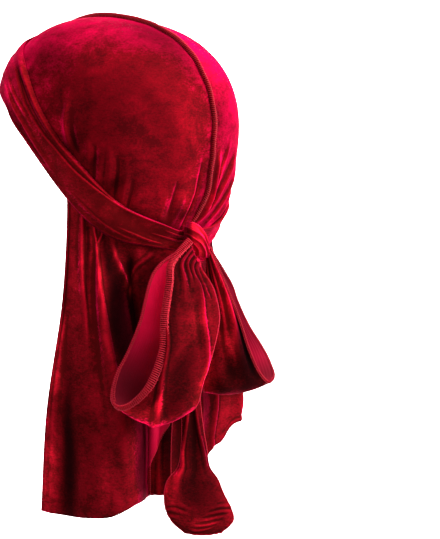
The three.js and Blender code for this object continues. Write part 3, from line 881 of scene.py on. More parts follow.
# %% [markdown]
# ## The standing seam
#
# The panels are sewn together with their allowances outward, and the two allowances are overlocked together.
# They stand up as a welt that wanders a little from side to side. The welt is swept along the middle of the
# head: at each share of the way, its height comes from a table and its top leans by a slow wave. A curve
# with a bevel would be as quick, but this profile can lean, rise and fade away.

# %% The standing seam
SEAM_HEIGHT = [
    # share of the way from the forehead to the nape, share of the full height
    [0, 0],
    [0.11, 0],
    [0.16, 0.8],
    [0.22, 1],
    [0.9, 1],
    [0.95, 0.75],
    [0.975, 0],
    [1, 0],
]
# In mm: half its width, its height over the panels, how far it starts below them, how far it leans.
SEAM = {"half": 1, "tall": 3.1, "root": 0.8, "lean": 0.9, "thickness": 0.5}


def welt(steps=420, round_steps=12):
    """A flat loop of cross-section, carried along the seam. Round the loop, the offset sideways is half times
    cos(a) and the height follows |sin(a)|^0.6, so the sides are steep and the top is round."""
    share, turn = shares(steps, round_steps)
    height = SEAM["tall"] * read_table(SEAM_HEIGHT, share)[1]
    angle = np.pi * turn
    tall = abs(np.sin(angle)) ** 0.6
    points = on_form(seam_direction(share), CROWN["lift"] - SEAM["root"] + (height + SEAM["root"]) * tall)
    lean = SEAM["lean"] * np.sin(23 * share) * np.sin(61 * share + 1) * tall
    points[..., 0] = SEAM["half"] * np.cos(angle) + lean + pull_to_knot(share)
    return points


welt_points = welt()
# Painted shade on one side of the welt and a painted highlight on the other.
WELT_PAINTED_LIGHT = [[0.5, 0, 3, 0.35, -0.4], [0.5, 1, 3, 0.3, 0.8]]
welt_looks = ([crown_velvet, knit_back], "overlocked_seam", SEAM["thickness"])
seam_welt = make_cloth("crown_seam_welt", welt_points, *welt_looks, WELT_PAINTED_LIGHT, reach=2)
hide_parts("crown_seam")

# %% [markdown]
# ## The seam's threads
#
# The overlock thread goes over the welt from one side to the other. Where the welt has sunk into the seam,
# at its two ends, there is nothing to bind, so the threads stop there too.


# %% The seam's threads
def seam_threads():
    """Threads over the welt. Each one follows the welt's cross-section, standing off it by half its radius,
    and leans along the seam by the pitch as it crosses."""
    pitch, radius = THREAD["pitch"], THREAD["radius"]
    middle = welt_points[:, welt_points.shape[1] // 2]
    at = resample(middle, pitch)
    lifted = welt_points + radius * 0.5 * normals(welt_points)
    tall = read_table(SEAM_HEIGHT, at / (len(middle) - 1))[1]
    sunk = 0.15
    at = at[tall > sunk]
    k = np.clip(at.astype(int), 0, len(middle) - 2)
    lines = lifted[k] + (at - k)[:, None, None] * (lifted[k + 1] - lifted[k])
    along = unit(np.gradient(middle, axis=0)[k])
    slant = np.linspace(-0.5, 0.5, lines.shape[1])[None, :, None]
    lines = (lines + slant * pitch * along[:, None])[:, ::2]
    print(len(lines), "threads over the seam")
    return tubes(lines, np.broadcast_to(along[:, None], lines.shape), radius)


vertices, faces = seam_threads()
seam_stitches = make_piece("crown_seam_stitches", vertices, faces, [seam_thread])

# %% [markdown]
# ## The band
#
# The band is a long strip, folded lengthwise into two pleats, of which the lower one lies over the upper one.
# We take the band's edges from the chart and spread the pleats between them: each rises slowly and ends in a
# sharp fold, which catches the light. Finer wrinkles run along it toward the knot. Two separate strips would
# do too, but in one grid the cloth stays whole under its folds.

# %% The band
# In mm: how far the band lies over the form, how far its lower edge rolls in, how far its upper edge does
# behind the temples and in front of them, and its mean width and thickness.
BAND = {"lift": 3.9, "lower_roll": 1.2, "upper_roll": 2.1, "temple_roll": 3.3, "width": 39, "thickness": 1.0}
UPPER_FOLD = [
    # share of the band's length, where the crest of the lower pleat lies across it
    [0, 0.62],
    [0.2, 0.68],
    [0.35, 0.8],
    [0.41, 0.74],
    [0.45, 0.67],
    [0.49, 0.69],
    [0.53, 0.72],
    [0.58, 0.79],
    [0.65, 0.8],
    [0.7, 0.86],
    [0.77, 0.94],
    [0.83, 0.99],
    [1, 1.04],
]
BAND_WRINKLES = [
    # tables down the band: share, place across, height, half width below and above
    [[0.2, 0.55, 0, 2, 2], [0.3, 0.55, 0.9, 1.8, 1.2], [0.4, 0.55, 1.2, 2, 1.2], [0.5, 0.52, 0, 2, 2]],
    [[0.1, 0.3, 0, 2, 2], [0.34, 0.4, 1.6, 1.6, 3], [0.42, 0.34, 1.8, 1.4, 3], [0.5, 0.3, 1.2, 2, 3]]
    + [[0.6, 0.26, 0, 3, 3]],
    [[0.3, 0.1, 0, 2, 2], [0.4, 0.1, 1, 2, 1.2], [0.46, 0.11, 0.8, 2, 1.4], [0.56, 0.2, 0, 2, 2]],
    [[0.3, 0.88, 0, 1, 1.6], [0.4, 0.84, -1, 1, 1.6], [0.46, 0.8, -1, 1, 1.6], [0.56, 0.85, 0, 1, 1.6]],
    [[0.6, 0.3, 0, 2, 2], [0.68, 0.26, 0.7, 2.4, 1.6], [0.76, 0.21, 0.9, 2.2, 1.4], [0.82, 0.16, 0, 2, 1]],
    [[0.76, 0.38, 0, 2, 1], [0.81, 0.34, 0.7, 2, 1], [0.86, 0.25, 0.8, 1.8, 1], [0.91, 0.2, 0, 1.5, 1]],
    [[0.86, 0.52, 0, 1.5, 1], [0.9, 0.5, 0.5, 1.5, 0.9], [0.95, 0.5, 0.8, 1.6, 1], [1, 0.5, 1, 1.4, 1]],
    [[0.9, 0.76, 0, 1.5, 1], [0.95, 0.74, 0.7, 1.6, 1], [1, 0.7, 1, 1.4, 1]],
]


def band_half(end_plan, slack, temple, side, rows=340, columns=84):
    """Half of the band as a grid from the forehead to the knot and from its lower to its upper edge. The
    lower pleat rises as the 0.7th power of the distance from its edge, and drops to the pleat under it. Both
    edges of the band are folds, so they roll in, the upper one most as far back as the temple's share."""
    along, across = shares(rows, columns)
    start_plan = -90.5
    plan = start_plan + (end_plan - start_plan) * along
    _, lower, upper, _, fullness = read_table(BAND_EDGES, plan)
    crest = read_table(UPPER_FOLD, along)[1]
    above = ease(0, 0.035, across - crest)
    front_pleat = 0.9 + 1.8 * np.clip(across / crest, 0, 1) ** 0.7
    back_pleat = 0.7 + 1.2 * np.clip((across - crest) / np.maximum(1 - crest, 0.05), 0, 1)
    pleat = front_pleat * (1 - above) + back_pleat * above
    less = BAND["temple_roll"] - BAND["upper_roll"]
    rolled = BAND["temple_roll"] - less * ease(temple, temple + 0.07, along)
    pleat -= BAND["lower_roll"] * (1 - ease(0, 0.06, across)) + rolled * (1 - ease(0, 0.05, 1 - across))
    wave = 0.3 * np.sin(17 * along + 5 * across) * np.sin(np.pi * across)
    wrinkles = long_folds(along, across, BAND["width"], BAND_WRINKLES)
    lift = BAND["lift"] + (pleat + wave + wrinkles) * fullness * slack
    points = at_height(plan, lower + (upper - lower) * across, lift)
    points[..., 0] *= side
    return points[:: side]


left_half, right_half = band_half(84, 1, 0.68, 1), band_half(95, 0.6, 0.56, -1)
print("the band's halves are", [round(lengths(half, 0)[-1]) for half in (left_half, right_half)], "mm long")

# %% [markdown]
# ## The band in velvet
#
# Patches of pile and painted light again: the band gets painted highlights where its pleats face up, and
# painted shade along its lower edge, where it turns under. The left half ends in the knot and the right half
# behind it.

# %% The band in velvet
band_looks = ([band_velvet, knit_back], "velvet_band", BAND["thickness"])
# Patches of the pile's lie, mixed with painted highlights and painted shade.
BAND_TONE_AND_LIGHT = [
    # middle down and across, half lengths down and across, stops
    [0.55, 0.35, 0.3, 0.3, 0.25],
    [0.77, 0.7, 0.07, 0.2, 0.6],
    [0.36, 0.5, 0.08, 0.5, 0.6],
    [0.82, 0.3, 0.06, 0.5, 0.35],
    [0.8, 0, 0.3, 0.04, -2.2],
    [0.78, 0.6, 0.12, 0.25, 0.6],
    [0.97, 0.2, 0.05, 0.3, 0.9],
    [0.45, 0.5, 0.1, 0.14, 0.5],
    [0.42, 0.84, 0.09, 0.05, -1.7],
    [0.42, 0.2, 0.09, 0.07, -1.1],
    [0.36, 0.08, 0.08, 0.12, -0.6],
    [0.43, 0.95, 0.09, 0.05, 0.8],
    [0.3, 0.5, 0.06, 0.5, 0.3],
    [0.86, 0.95, 0.12, 0.06, -0.5],
]
band_left = make_cloth("band_left_velvet", left_half, *band_looks, BAND_TONE_AND_LIGHT)
band_right = make_cloth("band_right_velvet", right_half, *band_looks, BAND_TONE_AND_LIGHT)
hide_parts("strap_left")
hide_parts("strap_right")

# %% [markdown]
# ## The knot
#
# The two straps are knotted behind: a few tight turns of cloth, side by side. The knot is a rounded box with
# crests round one of its axes. The crests are the folded edges of the turns: they are sharp, and the hollows
# between them are round. Each turn drifts sideways as it goes round, as a wound strip does. Rolling up a real
# strip would take far longer.

# %% The knot
BOW_TURN = 43
# Its place and half sizes in mm; then its lean, how many turns it has, and the power of the rounded box.
KNOT = {"x": 11, "y": 89.5, "z": -75.1, "across": 6.9, "deep": 9.6, "tall": 14.6}
KNOT |= {"lean": -0.24, "turns": 7, "power": 2.3}
KNOT_MIDDLE = [KNOT["x"], KNOT["y"], KNOT["z"]]
ACROSS_THE_BOW = turned(1, 0, 0, BOW_TURN)


def knot_ball(rings=150, round_steps=120):
    """A rounded box about the knot's middle, read in rings round a pole that points left, down and forward.
    The turns of gathered cloth are sharp crests round that pole: between them the radius falls by a share,
    as |sin|^0.55 of pi times the turns, which drift on their way round and are finer far from the pole."""
    ring, turn = shares(rings, round_steps)
    pole = unit(turned(-0.86, 0.5, -0.3, BOW_TURN))
    side = unit(np.cross(pole, [0, 0, 1]))
    from_pole, about = np.pi * ring, 2 * np.pi * turn
    radial = np.cos(about)[..., None] * side + np.sin(about)[..., None] * np.cross(side, pole)
    way = np.cos(from_pole)[..., None] * pole + np.sin(from_pole)[..., None] * radial
    n = KNOT["power"]
    size = (abs(way / [KNOT["across"], KNOT["deep"], KNOT["tall"]]) ** n).sum(-1) ** (-1 / n)
    drift = 0.45 * np.sin(about + 1) + 0.2 * np.sin(2 * about + 9 * ring)
    groove = abs(np.sin(np.pi * (KNOT["turns"] * ring**1.25 + drift))) ** 0.55 * ease(0.08, 0.2, ring)
    depth = 0.1 + 0.03 * np.sin(9 * ring + about) + 0.05 * ease(0.55, 0.8, ring)
    size = size * (1 - depth * groove * np.sin(from_pole) ** 0.5)
    ball = way * size[..., None]
    return ball + KNOT["lean"] * ball[..., 2:] * ACROSS_THE_BOW + KNOT_MIDDLE


def closed_ball(ball):
    """Vertices and faces of a ball: one vertex at each pole, quads between the rings and triangles round the
    poles. The last point of a ring is its first one again, so it is left out."""
    rings, steps = ball.shape[0] - 2, ball.shape[1] - 1
    number = 1 + np.arange(rings * steps).reshape(rings, steps)
    turn = np.roll(number, -1, axis=1)
    walls = np.stack([number[:-1], turn[:-1], turn[1:], number[1:]], -1).reshape(-1, 4).tolist()
    last = rings * steps + 1
    walls += [[0, b, a] for a, b in zip(number[0].tolist(), turn[0].tolist())]
    walls += [[last, a, b] for a, b in zip(number[-1].tolist(), turn[-1].tolist())]
    return np.concatenate([ball[:1, 0], ball[1:-1, :-1].reshape(-1, 3), ball[-1:, 0]]), walls


ball = knot_ball()
vertices, walls = closed_ball(ball)
knot = make_piece("knot_turns", vertices, walls, [knot_velvet])
corner_a, corner_b, corner_c = vertices[walls[0][:3]]
facing_out = np.cross(corner_b - corner_a, corner_c - corner_a) @ (corner_a - vertices.mean(0))
print("knot:", len(vertices), "points, faces point", "out" if facing_out > 0 else "in")

# %% [markdown]
# ## The knot's painted light and shade
#
# The turns are so tight that their crests and hollows need a stronger painted highlight and shade than
# the wide sheets have, and painted shade makes the knot darkest on the side that lies against the head.

# %% The knot's painted light and shade
# The ball's grid faces inward, so its crests count as hollows until the sign is turned.
# The knot's painted highlight on crests and painted shade in hollows are made stronger.
KNOT_CONTRAST = -2.5
bend = KNOT_CONTRAST * bending(ball, 3)[1:-1, :-1].ravel()
store(knot, "bending", np.concatenate([[0], bend, [0]]))
# Painted light: the knot is painted darker toward both sides across the bow and lighter between.
across = (vertices - KNOT_MIDDLE) @ ACROSS_THE_BOW / KNOT["across"]
store(knot, "tone_and_painted_light", -2 + 2.8 * ease(-1, -0.35, across) - 1.2 * ease(0.55, 1, across))
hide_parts("knot")
print("the knot's bending lies between", bend.min().round(2), "and", bend.max().round(2))

# %% [markdown]
# ## The bow
#
# The ends of the straps are pulled through as two loops that hang open, and what is left hangs behind them.
# Each strip is given by its two edges and the bulge of its middle, row by row from the knot, round the
# bottom of the loop and back up. Cloth tied in a simulation would hang as well, but seldom like this one.

# %% The bow
LEFT_LOOP = [
    # across, out and up of one edge, of the other edge, then the middle's bulge out and up
    [51.6, 74.5, -71.6, 61, 75, -95.5, 3, 0],
    [37, 88, -87, 63.5, 78, -98, 4, 2],
    [34.6, 100, -101.5, 69.7, 82, -108, 5, 2],
    [30.7, 110, -123.6, 73, 88, -121.7, 5, 1],
    [29.8, 117, -143.8, 72.7, 94, -132.4, 5, 0],
    [24, 121, -161.6, 67.9, 102, -151.2, 5, -1],
    [16.9, 121, -174.4, 61.2, 108, -169.6, 6, -4],
    [5.6, 117, -185, 57.5, 110, -185.1, 6, -8],
    [-3.6, 110, -186.3, 52.6, 107, -192, 3, -12],
    [-4.9, 105, -178, 51.6, 98, -188, -2, -9],
    [-0.6, 102, -163.9, 53.3, 92, -178.5, -3, -3],
    [5.9, 99, -152, 55.6, 87, -167.6, -3, 0],
    [15.4, 94, -129.7, 60.5, 79, -141.8, -3, 0],
    [26, 84, -95, 62.5, 75, -110, -2, 0],
    [48, 72.5, -78, 60, 72.5, -88, 0, 0],
]
RIGHT_LOOP = [
    [65, 63, -89, 68, 66.5, -79.5, 1, 0],
    [63.8, 66, -107.4, 79.7, 73, -106.6, 3, 0],
    [64.5, 66, -122.9, 85.6, 74, -122.2, 4, 0],
    [64, 65, -140.9, 90.8, 72, -136.6, 5, 0],
    [63, 64, -157.4, 96.2, 68, -153.5, 5, 0],
    [62.5, 64, -172.3, 102.5, 63, -168.7, 5, -1],
    [62.5, 63.5, -184, 108.1, 58, -178, 4, -3],
    [63, 61, -188, 113.8, 52, -183, 1, -5],
    [63.2, 58, -186, 117.3, 46, -179, -2, -4],
    [63.5, 56, -176.2, 113.8, 42, -168, -4, -1],
    [64.5, 55, -157.6, 107.9, 40, -156.9, -4, 0],
    [65.3, 54, -139, 98, 42, -140.6, -3, 0],
    [66.8, 54, -120.3, 89.6, 45, -122.1, -2, 0],
    [66.5, 54.5, -103, 84, 47.5, -107, -1, 0],
    [64.5, 59.5, -86, 68, 60, -79.5, -1, 0],
]
RIGHT_END = [
    [51, 64, -101, 59.5, 63, -101, 1, 0],
    [48, 67, -128, 60, 66, -128, 2, 0],
    [46.5, 70, -155, 60, 70, -155, 3, 0],
    [46, 74, -185, 60, 73, -185, 3, 0],
    [46, 78, -207, 62, 76, -208, 3, 0],
    [45.5, 79.5, -226, 65, 77, -227, 4, 0],
    [43, 82, -239, 67, 78, -240, 5, 0],
    [35.5, 85, -248, 73, 80, -249, 6, 0],
    [32.9, 87, -258, 77, 82, -259, 6, 0],
    [33.6, 88, -269, 82.5, 84, -270, 6, 0],
    [38.5, 88, -279, 84, 84, -280, 5, -1],
    [48, 87, -288, 75.5, 85, -288.5, 3, -1],
]
LEFT_END = [
    [45, 67, -101, 50, 66.5, -101, 1, 0],
    [36, 67.5, -130, 44.5, 66, -130, 1, 0],
    [28, 68, -158, 43.5, 66, -158, 2, 0],
    [23.5, 69, -182, 42, 66, -182, 2, 0],
    [22.5, 69, -210, 40, 66, -210, 2, 0],
    [22.5, 69, -238, 39, 66, -238, 2, 0],
    [22.5, 69, -263, 39.5, 66, -264, 2, 0],
]
print("the left loop has", len(LEFT_LOOP), "rows, the right one", len(RIGHT_LOOP))

# %% [markdown]
# ## The bow's pleats
#
# The knot presses pleats into the straps, which spread and fade on the way down. Other folds come from the
# bend at the bottom of a loop. Each fold is a small table that runs down its strip, so it can wander across,
# swell and narrow on its way.

# %% The bow's pleats
LEFT_LOOP_FOLDS = [
    # tables down the strip: share, place across, height, half width before and after the crest
    [[0, 0.12, 1.2, 1, 1], [0.08, 0.1, 1.4, 1.6, 1.4], [0.16, 0.08, 1.2, 2, 1.6], [0.24, 0.04, 0, 2, 2]],
    [[0, 0.28, 1.6, 1, 1], [0.05, 0.33, 2, 1.4, 1.4], [0.12, 0.36, 1.8, 2, 2.6], [0.22, 0.42, 0, 3, 4]],
    [[0, 0.42, 1.6, 1, 1], [0.04, 0.45, 2, 1.3, 1], [0.09, 0.52, 2, 1.5, 1], [0.16, 0.54, 0, 2, 2]],
    [[0, 0.58, 1.6, 1, 1], [0.06, 0.62, 2, 1.4, 1.4], [0.12, 0.62, 1.4, 2, 2], [0.2, 0.6, 0, 3, 3]],
    [[0, 0.74, 1.6, 1, 1], [0.08, 0.76, 1.8, 1.2, 0.9], [0.14, 0.78, 1.6, 1.4, 0.8], [0.19, 0.88, 0, 1.5, 1]],
    [[0.1, 0.68, 0, 2, 1.5], [0.17, 0.7, 2, 2.8, 1.6], [0.27, 0.73, 2.4, 3, 1.8], [0.34, 0.86, 2.2, 2.6, 1.8]]
    + [[0.4, 0.98, 1, 2, 1.5], [0.46, 1.05, 0, 2, 1.5]],
    [[0, 0.9, 1.2, 1, 1], [0.1, 0.93, 1.4, 1.5, 1.4], [0.25, 0.96, 1, 2, 1.6], [0.42, 0.97, 0, 2, 2]],
    [[0.18, 0.06, 0, 1, 1], [0.24, 0.09, 1.4, 0.9, 1.5], [0.33, 0.15, 1.8, 1, 1.8]]
    + [[0.4, 0.22, 2.2, 1.2, 2.2], [0.46, 0.33, 2.6, 1.4, 2.8]]
    + [[0.53, 0.47, 2.8, 2, 4], [0.62, 0.5, 0, 3, 5]],
    [[0.14, 0.4, 0, 4, 4], [0.24, 0.46, 1.2, 6, 6], [0.36, 0.5, 0, 6, 6]],
    [[0.6, 0.5, 0, 4, 4], [0.75, 0.5, 1.5, 6, 6], [0.9, 0.5, 1, 5, 5], [1, 0.5, 0, 3, 3]],
]
RIGHT_LOOP_FOLDS = [
    [[0, 0.8, 1.4, 1.4, 1], [0.06, 0.836, 2.2, 2.6, 1.3], [0.14, 0.84, 2.8, 3.4, 1.4]]
    + [[0.2, 0.81, 2.6, 4.5, 1.8], [0.28, 0.75, 1.4, 6, 2.4], [0.42, 0.74, 0, 6, 3]],
    [[0.08, 0.94, 0, 1.5, 1.5], [0.18, 0.93, -1.1, 1.5, 1.5], [0.34, 0.9, -1.6, 2.4, 2], [0.5, 0.9, 0, 3, 2]],
    [[0, 0.2, 1, 1, 1.4], [0.08, 0.24, 1.6, 1.6, 1.6], [0.18, 0.28, 1.2, 2.4, 3], [0.32, 0.3, 0, 3, 4]],
    [[0, 0.5, 1.2, 1, 1.4], [0.1, 0.55, 1.6, 1.6, 2], [0.22, 0.55, 1, 2.4, 3], [0.36, 0.55, 0, 3, 4]],
    [[0.3, 0.3, 0, 3, 4], [0.42, 0.36, 1.4, 4, 5], [0.5, 0.4, 0, 4, 6]],
]
RIGHT_END_FOLDS = [
    [[0, 0.3, 1, 1.4, 2], [0.3, 0.32, 1, 1.6, 2.4], [0.45, 0.1, 1.4, 1.6, 1.4], [0.55, 0.16, 2, 2.4, 1.6]]
    + [[0.66, 0.2, 2.2, 4, 2], [0.8, 0.2, 0.8, 5, 3], [0.9, 0.2, 0, 5, 4]],
    [[0, 0.7, 0.8, 1.4, 2], [0.3, 0.7, 1, 1.6, 2.4], [0.5, 0.86, 1.2, 2, 1.6], [0.62, 0.9, 0, 2, 2]],
    [[0.5, 0.55, 0, 4, 4], [0.62, 0.52, -1.2, 5, 5], [0.76, 0.55, 0, 5, 5]],
]
LEFT_END_FOLDS = [
    [[0, 0.5, 0.8, 1.4, 2], [0.5, 0.45, 1.4, 1.6, 2.4], [1, 0.4, 1, 2, 3]],
]
print("pleats of the left loop:", len(LEFT_LOOP_FOLDS), "and of the right one:", len(RIGHT_LOOP_FOLDS))

# %% [markdown]
# ## Hanging strips
#
# One function makes all four strips: it spans the cloth between the two edges, lets it bulge, and lays the
# pleats on it. The left end is turned over along its length, so that its wrong side comes to the front: there
# the place across is measured from the fold, once in front of it and once behind.


# %% Hanging strips
def creases(along, across, start, height):
    """Fine arcs across a strip from its start share on: the height times sin of the share down, which lags
    in the middle and drifts, so that no two arcs are alike."""
    arc = along - 0.06 * across**2 + 0.03 * np.sin(7 * across + 9 * along)
    strength = ease(start, start + 0.08, along) * ease(-0.6, 0.9, np.sin(9 * across + 31 * along))
    return height * strength * np.sin(150 * arc + 2 * np.sin(4 * across))


# shares down the strip, and the place across where it is turned over
LEFT_END_TURNED = [[0, 0.5], [0.5, 0.5], [0.67, 0.46], [0.78, 0.24], [0.86, 0.02], [1, 0.02]]
FLAP_STANDS_OFF = 1.6


def hanging_strip(table, rows, columns, ripple, width, folds, turned_over=((0, 0), (1, 0)), wrinkled=(2, 0)):
    """A strip of cloth between two edges. Its middle bulges by sin(pi w), a ripple adds sin(3 pi w) halfway
    down, and the long folds stand on that along the cloth's normal. Where it is turned over, the place
    across is the distance from the fold, and what lies before the fold stands a little in front. Wrinkled
    is where the creases start and their height in mm; a start of 2 is past the end, so there are none."""
    along, across = shares(rows, columns)
    fold = np.interp(along, *np.transpose(turned_over))
    from_fold = np.sqrt((across - fold) ** 2 + 0.015**2 * (fold > 0))
    flap = 0.5 - 0.5 * (across - fold) / np.maximum(from_fold, 1e-6)
    across = from_fold / (1 - fold) if fold.any() else across
    _, a1, o1, u1, a2, o2, u2, bulge_out, bulge_up = read_table(numbered(table), along)
    arch = np.sin(np.pi * across)
    wave = ripple * np.sin(np.pi * along) * np.sin(3 * np.pi * across)
    out = o1 + (o2 - o1) * across + bulge_out * arch + wave
    points = turned(a1 + (a2 - a1) * across, out, u1 + (u2 - u1) * across + bulge_up * arch, BOW_TURN)
    lift = long_folds(along, across, width, folds) + creases(along, across, *wrinkled)
    points = points + lift[..., None] * normals(points)
    return points + turned(0, FLAP_STANDS_OFF, 0, BOW_TURN) * (flap * (fold > 0))[..., None]


strips = {
    "loop_left": hanging_strip(LEFT_LOOP, 240, 60, 1.2, 42, LEFT_LOOP_FOLDS),
    "loop_right": hanging_strip(RIGHT_LOOP, 220, 52, 1, 36, RIGHT_LOOP_FOLDS),
    "end_right": hanging_strip(RIGHT_END, 240, 60, 1.2, 30, RIGHT_END_FOLDS, wrinkled=(0.74, 0.28)),
    "end_left": hanging_strip(LEFT_END, 140, 40, 0.8, 18, LEFT_END_FOLDS, LEFT_END_TURNED),
}
print("strips:", {name: strip.shape[:2] for name, strip in strips.items()})

# %% [markdown]
# ## The bow's pile and painted light
#
# The bow gets its patches of pile and painted light on the right side, and patches of painted light and
# shade on the wrong one. The wrong side has no pile, but the inside of a loop is shaded by its own walls,
# and its patches of painted shade make that shade as deep as it should be.

# %% The bow's pile and painted light
# patches as for the crown: pile and painted light, then the wrong side's painted light and shade
BOW_TONE_AND_LIGHT = {
    "loop_left": [
        [0.16, 0.19, 0.14, 0.07, -1.6],
        [0.29, 0.26, 0.04, 0.08, -0.8],
        [0.53, 0.25, 0.07, 0.12, 0.8],
        [0.12, 0.5, 0.14, 0.6, -0.5],
        [0.36, 0.38, 0.05, 0.12, -0.8],
        [0.53, 0.2, 0.04, 0.3, 1.1],
        [0.43, 0.97, 0.07, 0.05, 2],
        [0.1, 0.3, 0.12, 0.3, -0.5],
        [0.06, 0.72, 0.1, 0.16, -0.8],
        [0.25, 0.6, 0.06, 0.16, 1.1],
        [0.3, 0.36, 0.05, 0.1, 0.5],
        [0.4, 0.52, 0.09, 0.22, -1.5],
        [0.38, 0.03, 0.16, 0.05, 1.2],
        [0.44, 0.3, 0.05, 0.03, 1.5],
        [0.475, 0.37, 0.03, 0.07, 1.8],
        [0.525, 0.42, 0.03, 0.24, 1.7],
        [0.52, 0.05, 0.06, 0.12, 1.2],
        [0.5, 0.93, 0.06, 0.08, 0.9],
        [0.9, 0.1, 0.1, 0.4, 0.5],
    ],
    "loop_right": [
        [0.32, 0.74, 0.05, 0.09, -1.6],
        [0.08, 0.7, 0.06, 0.08, 1],
        [0.25, 0.84, 0.07, 0.06, -1.4],
        [0.47, 0.65, 0.05, 0.25, -0.7],
        [0.22, 0.54, 0.05, 0.05, 0.8],
        [0.14, 0.72, 0.14, 0.12, 2.8],
        [0.4, 0.1, 0.08, 0.12, 1],
        [0.48, 0.6, 0.05, 0.3, -0.6],
        [0.28, 0.66, 0.06, 0.09, 2.2],
        [0.14, 0.42, 0.1, 0.15, 0.9],
        [0.24, 0.45, 0.08, 0.15, 1.2],
        [0.3, 0.2, 0.1, 0.15, 0.8],
        [0.25, 0.93, 0.1, 0.06, -3.4],
        [0.36, 0.84, 0.09, 0.16, -3.4],
        [0.36, 0.52, 0.04, 0.12, -1.6],
        [0.34, 0.05, 0.08, 0.12, 1.2],
        [0.43, 0.3, 0.05, 0.2, -0.9],
    ],
    "end_right": [
        [0.62, 0.82, 0.26, 0.13, -1.2],
        [0.75, 0.5, 0.05, 0.2, -0.9],
        [0.85, 0.6, 0.05, 0.3, -0.7],
        [0.3, 0.2, 0.06, 0.1, 1.1],
        [0.44, 0.3, 0.08, 0.12, -1],
        [0.42, 0.92, 0.15, 0.12, -0.8],
        [0.66, 0.08, 0.1, 0.08, 1.6],
        [0.9, 0.4, 0.06, 0.5, 0.6],
        [0.44, 0.5, 0.13, 0.3, -1.4],
        [0.66, 0.45, 0.1, 0.22, -1.9],
        [0.46, 0.08, 0.05, 0.08, 1.6],
        [0.7, 0.13, 0.12, 0.09, 2.4],
        [0.9, 0.5, 0.08, 0.4, 0.9],
        [0.86, 0.95, 0.1, 0.08, 0.7],
    ],
    "end_left": [[0.75, 0.95, 0.3, 0.25, -2.4], [0.7, 0.1, 0.15, 0.2, 0.6], [0.95, 0.3, 0.08, 0.3, 0.4]],
}
# Painted shade inside the strips, with one lighter spot of painted light inside the right loop.
BOW_INSIDE = {
    "loop_left": [[0.67, 0.25, 0.13, 0.6, -3], [0.8, 0.3, 0.05, 0.3, -0.5]],
    "loop_right": [
        [0.5, 0.5, 9, 9, -2.1],
        [0.66, 0.8, 0.1, 0.2, 0.6],
        [0.58, 0.8, 0.05, 0.4, -0.8],
        [0.66, 0, 0.3, 0.2, -1.2],
    ],
    "end_right": [[0.5, 0.5, 9, 9, -0.8]],
    "end_left": [[0.5, 0.5, 9, 9, -0.5]],
}
print("patches on the bow:", sum(len(patches) for patches in (*BOW_TONE_AND_LIGHT.values(), *BOW_INSIDE.values())))

# %% [markdown]
# ## Sewing the bow
#
# Each strip becomes cloth, and its edges are bound. The left loop shows how wide the overlock really is; the
# other edges are seen from the side or from afar, and get a narrow ladder of thin thread.

# %% Sewing the bow
BOW_THICKNESS = 1.1
# pairs of a share of the edge and the thread's bite there in mm, for the two long edges and the end
NARROW = [[0, 0.7], [1, 0.7]]
BITES = {
    "loop_left": ([[0, 4.6], [0.38, 5.2], [0.5, 3.2], [0.64, 2.2], [0.75, 1], [1, 0.8]], NARROW),
    "loop_right": (NARROW, [[0, 0.8], [0.44, 1.3], [1, 0.8]]),
    "end_right": (NARROW, NARROW, NARROW),
    "end_left": (NARROW, NARROW, NARROW),
}
bow_looks = ([bow_velvet, knit_back], "velvet_bow", BOW_THICKNESS)
for node, points in strips.items():
    make_cloth(node + "_velvet", points, *bow_looks, BOW_TONE_AND_LIGHT[node], inside=BOW_INSIDE[node])
    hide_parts(node)
    for side, bites in zip(("first_column", "last_column", "last_row"), BITES[node]):
        name = node + "_stitches_" + side
        wide = bites[0][1] > 1
        radius = THREAD["radius"] if wide else THREAD["thin"]
        overlock(name, *edge_of(points, side), "velvet_bow", BOW_THICKNESS, bites, radius)

# %% [markdown]
# ## The cape
#
# The cape is a wide flap sewn to the crown's rim. It leaves the band in soft pipes of cloth, which spread
# and fall to an uneven hem. Each fold line is a smooth curve through five points, from under the band to the
# hem, and a table holds one line per row. A cloth simulation would fold it too, but not twice the same way,
# and not where we want it.

# %% The cape
# The heights of the two levels between the band and the hem. Under the band the cape lies this far over the
# form, starts a gap below the rim, and follows the form as far as the tuck. Wide and long are the cape's mean
# sizes, which turn shares into mm.
UPPER, LOWER = -114, -200
CAPE = {"lift": 1.1, "gap": 2.4, "tuck": 20, "wide": 250, "long": 150, "thickness": 1.2}
CAPE_LINES = [
    # plan angle under the band, plan angle and radius at the upper level, at the lower level and at the hem,
    # and the hem's height
    [14, 12.2, 76.6, 4, 82.5, 1.6, 86, -275],
    [19, 18.4, 78, 14.2, 83.6, 15.8, 85, -276],
    [25, 25.9, 81.8, 25, 89, 30.4, 94.5, -274],
    [31, 31, 80.5, 36, 90, 40, 98, -271.5],
    [38, 37.7, 83.4, 46.7, 92.2, 51, 92.9, -264],
    [50, 50, 60, 64, 58, 62, 64, -267],
    [57, 57, 63.5, 73, 66, 70.3, 69.8, -264],
    [67, 68, 66, 85, 65, 86.8, 66.4, -260],
    [82, 83.5, 74, 95, 76, 91.2, 75, -252],
    [100, 100, 73, 110, 76, 103, 79.4, -239],
    [112, 115, 77, 121, 87, 117, 85, -228],
    [126, 129, 79, 128, 95.3, 129, 94, -219],
    [142, 143, 74, 146, 82, 147, 84, -217],
    [155, 156, 80, 158, 90, 159, 92, -218],
    [169, 168, 78.6, 171, 84, 172, 86, -222],
]
print("lines down the cape:", len(CAPE_LINES))

# %% [markdown]
# ## The cape's folds
#
# The lines already give the cape its large pipes. Smaller folds stand on these: some start under the band and
# fade, and some only show near the hem. They are tables down the cloth again, as for the bow.

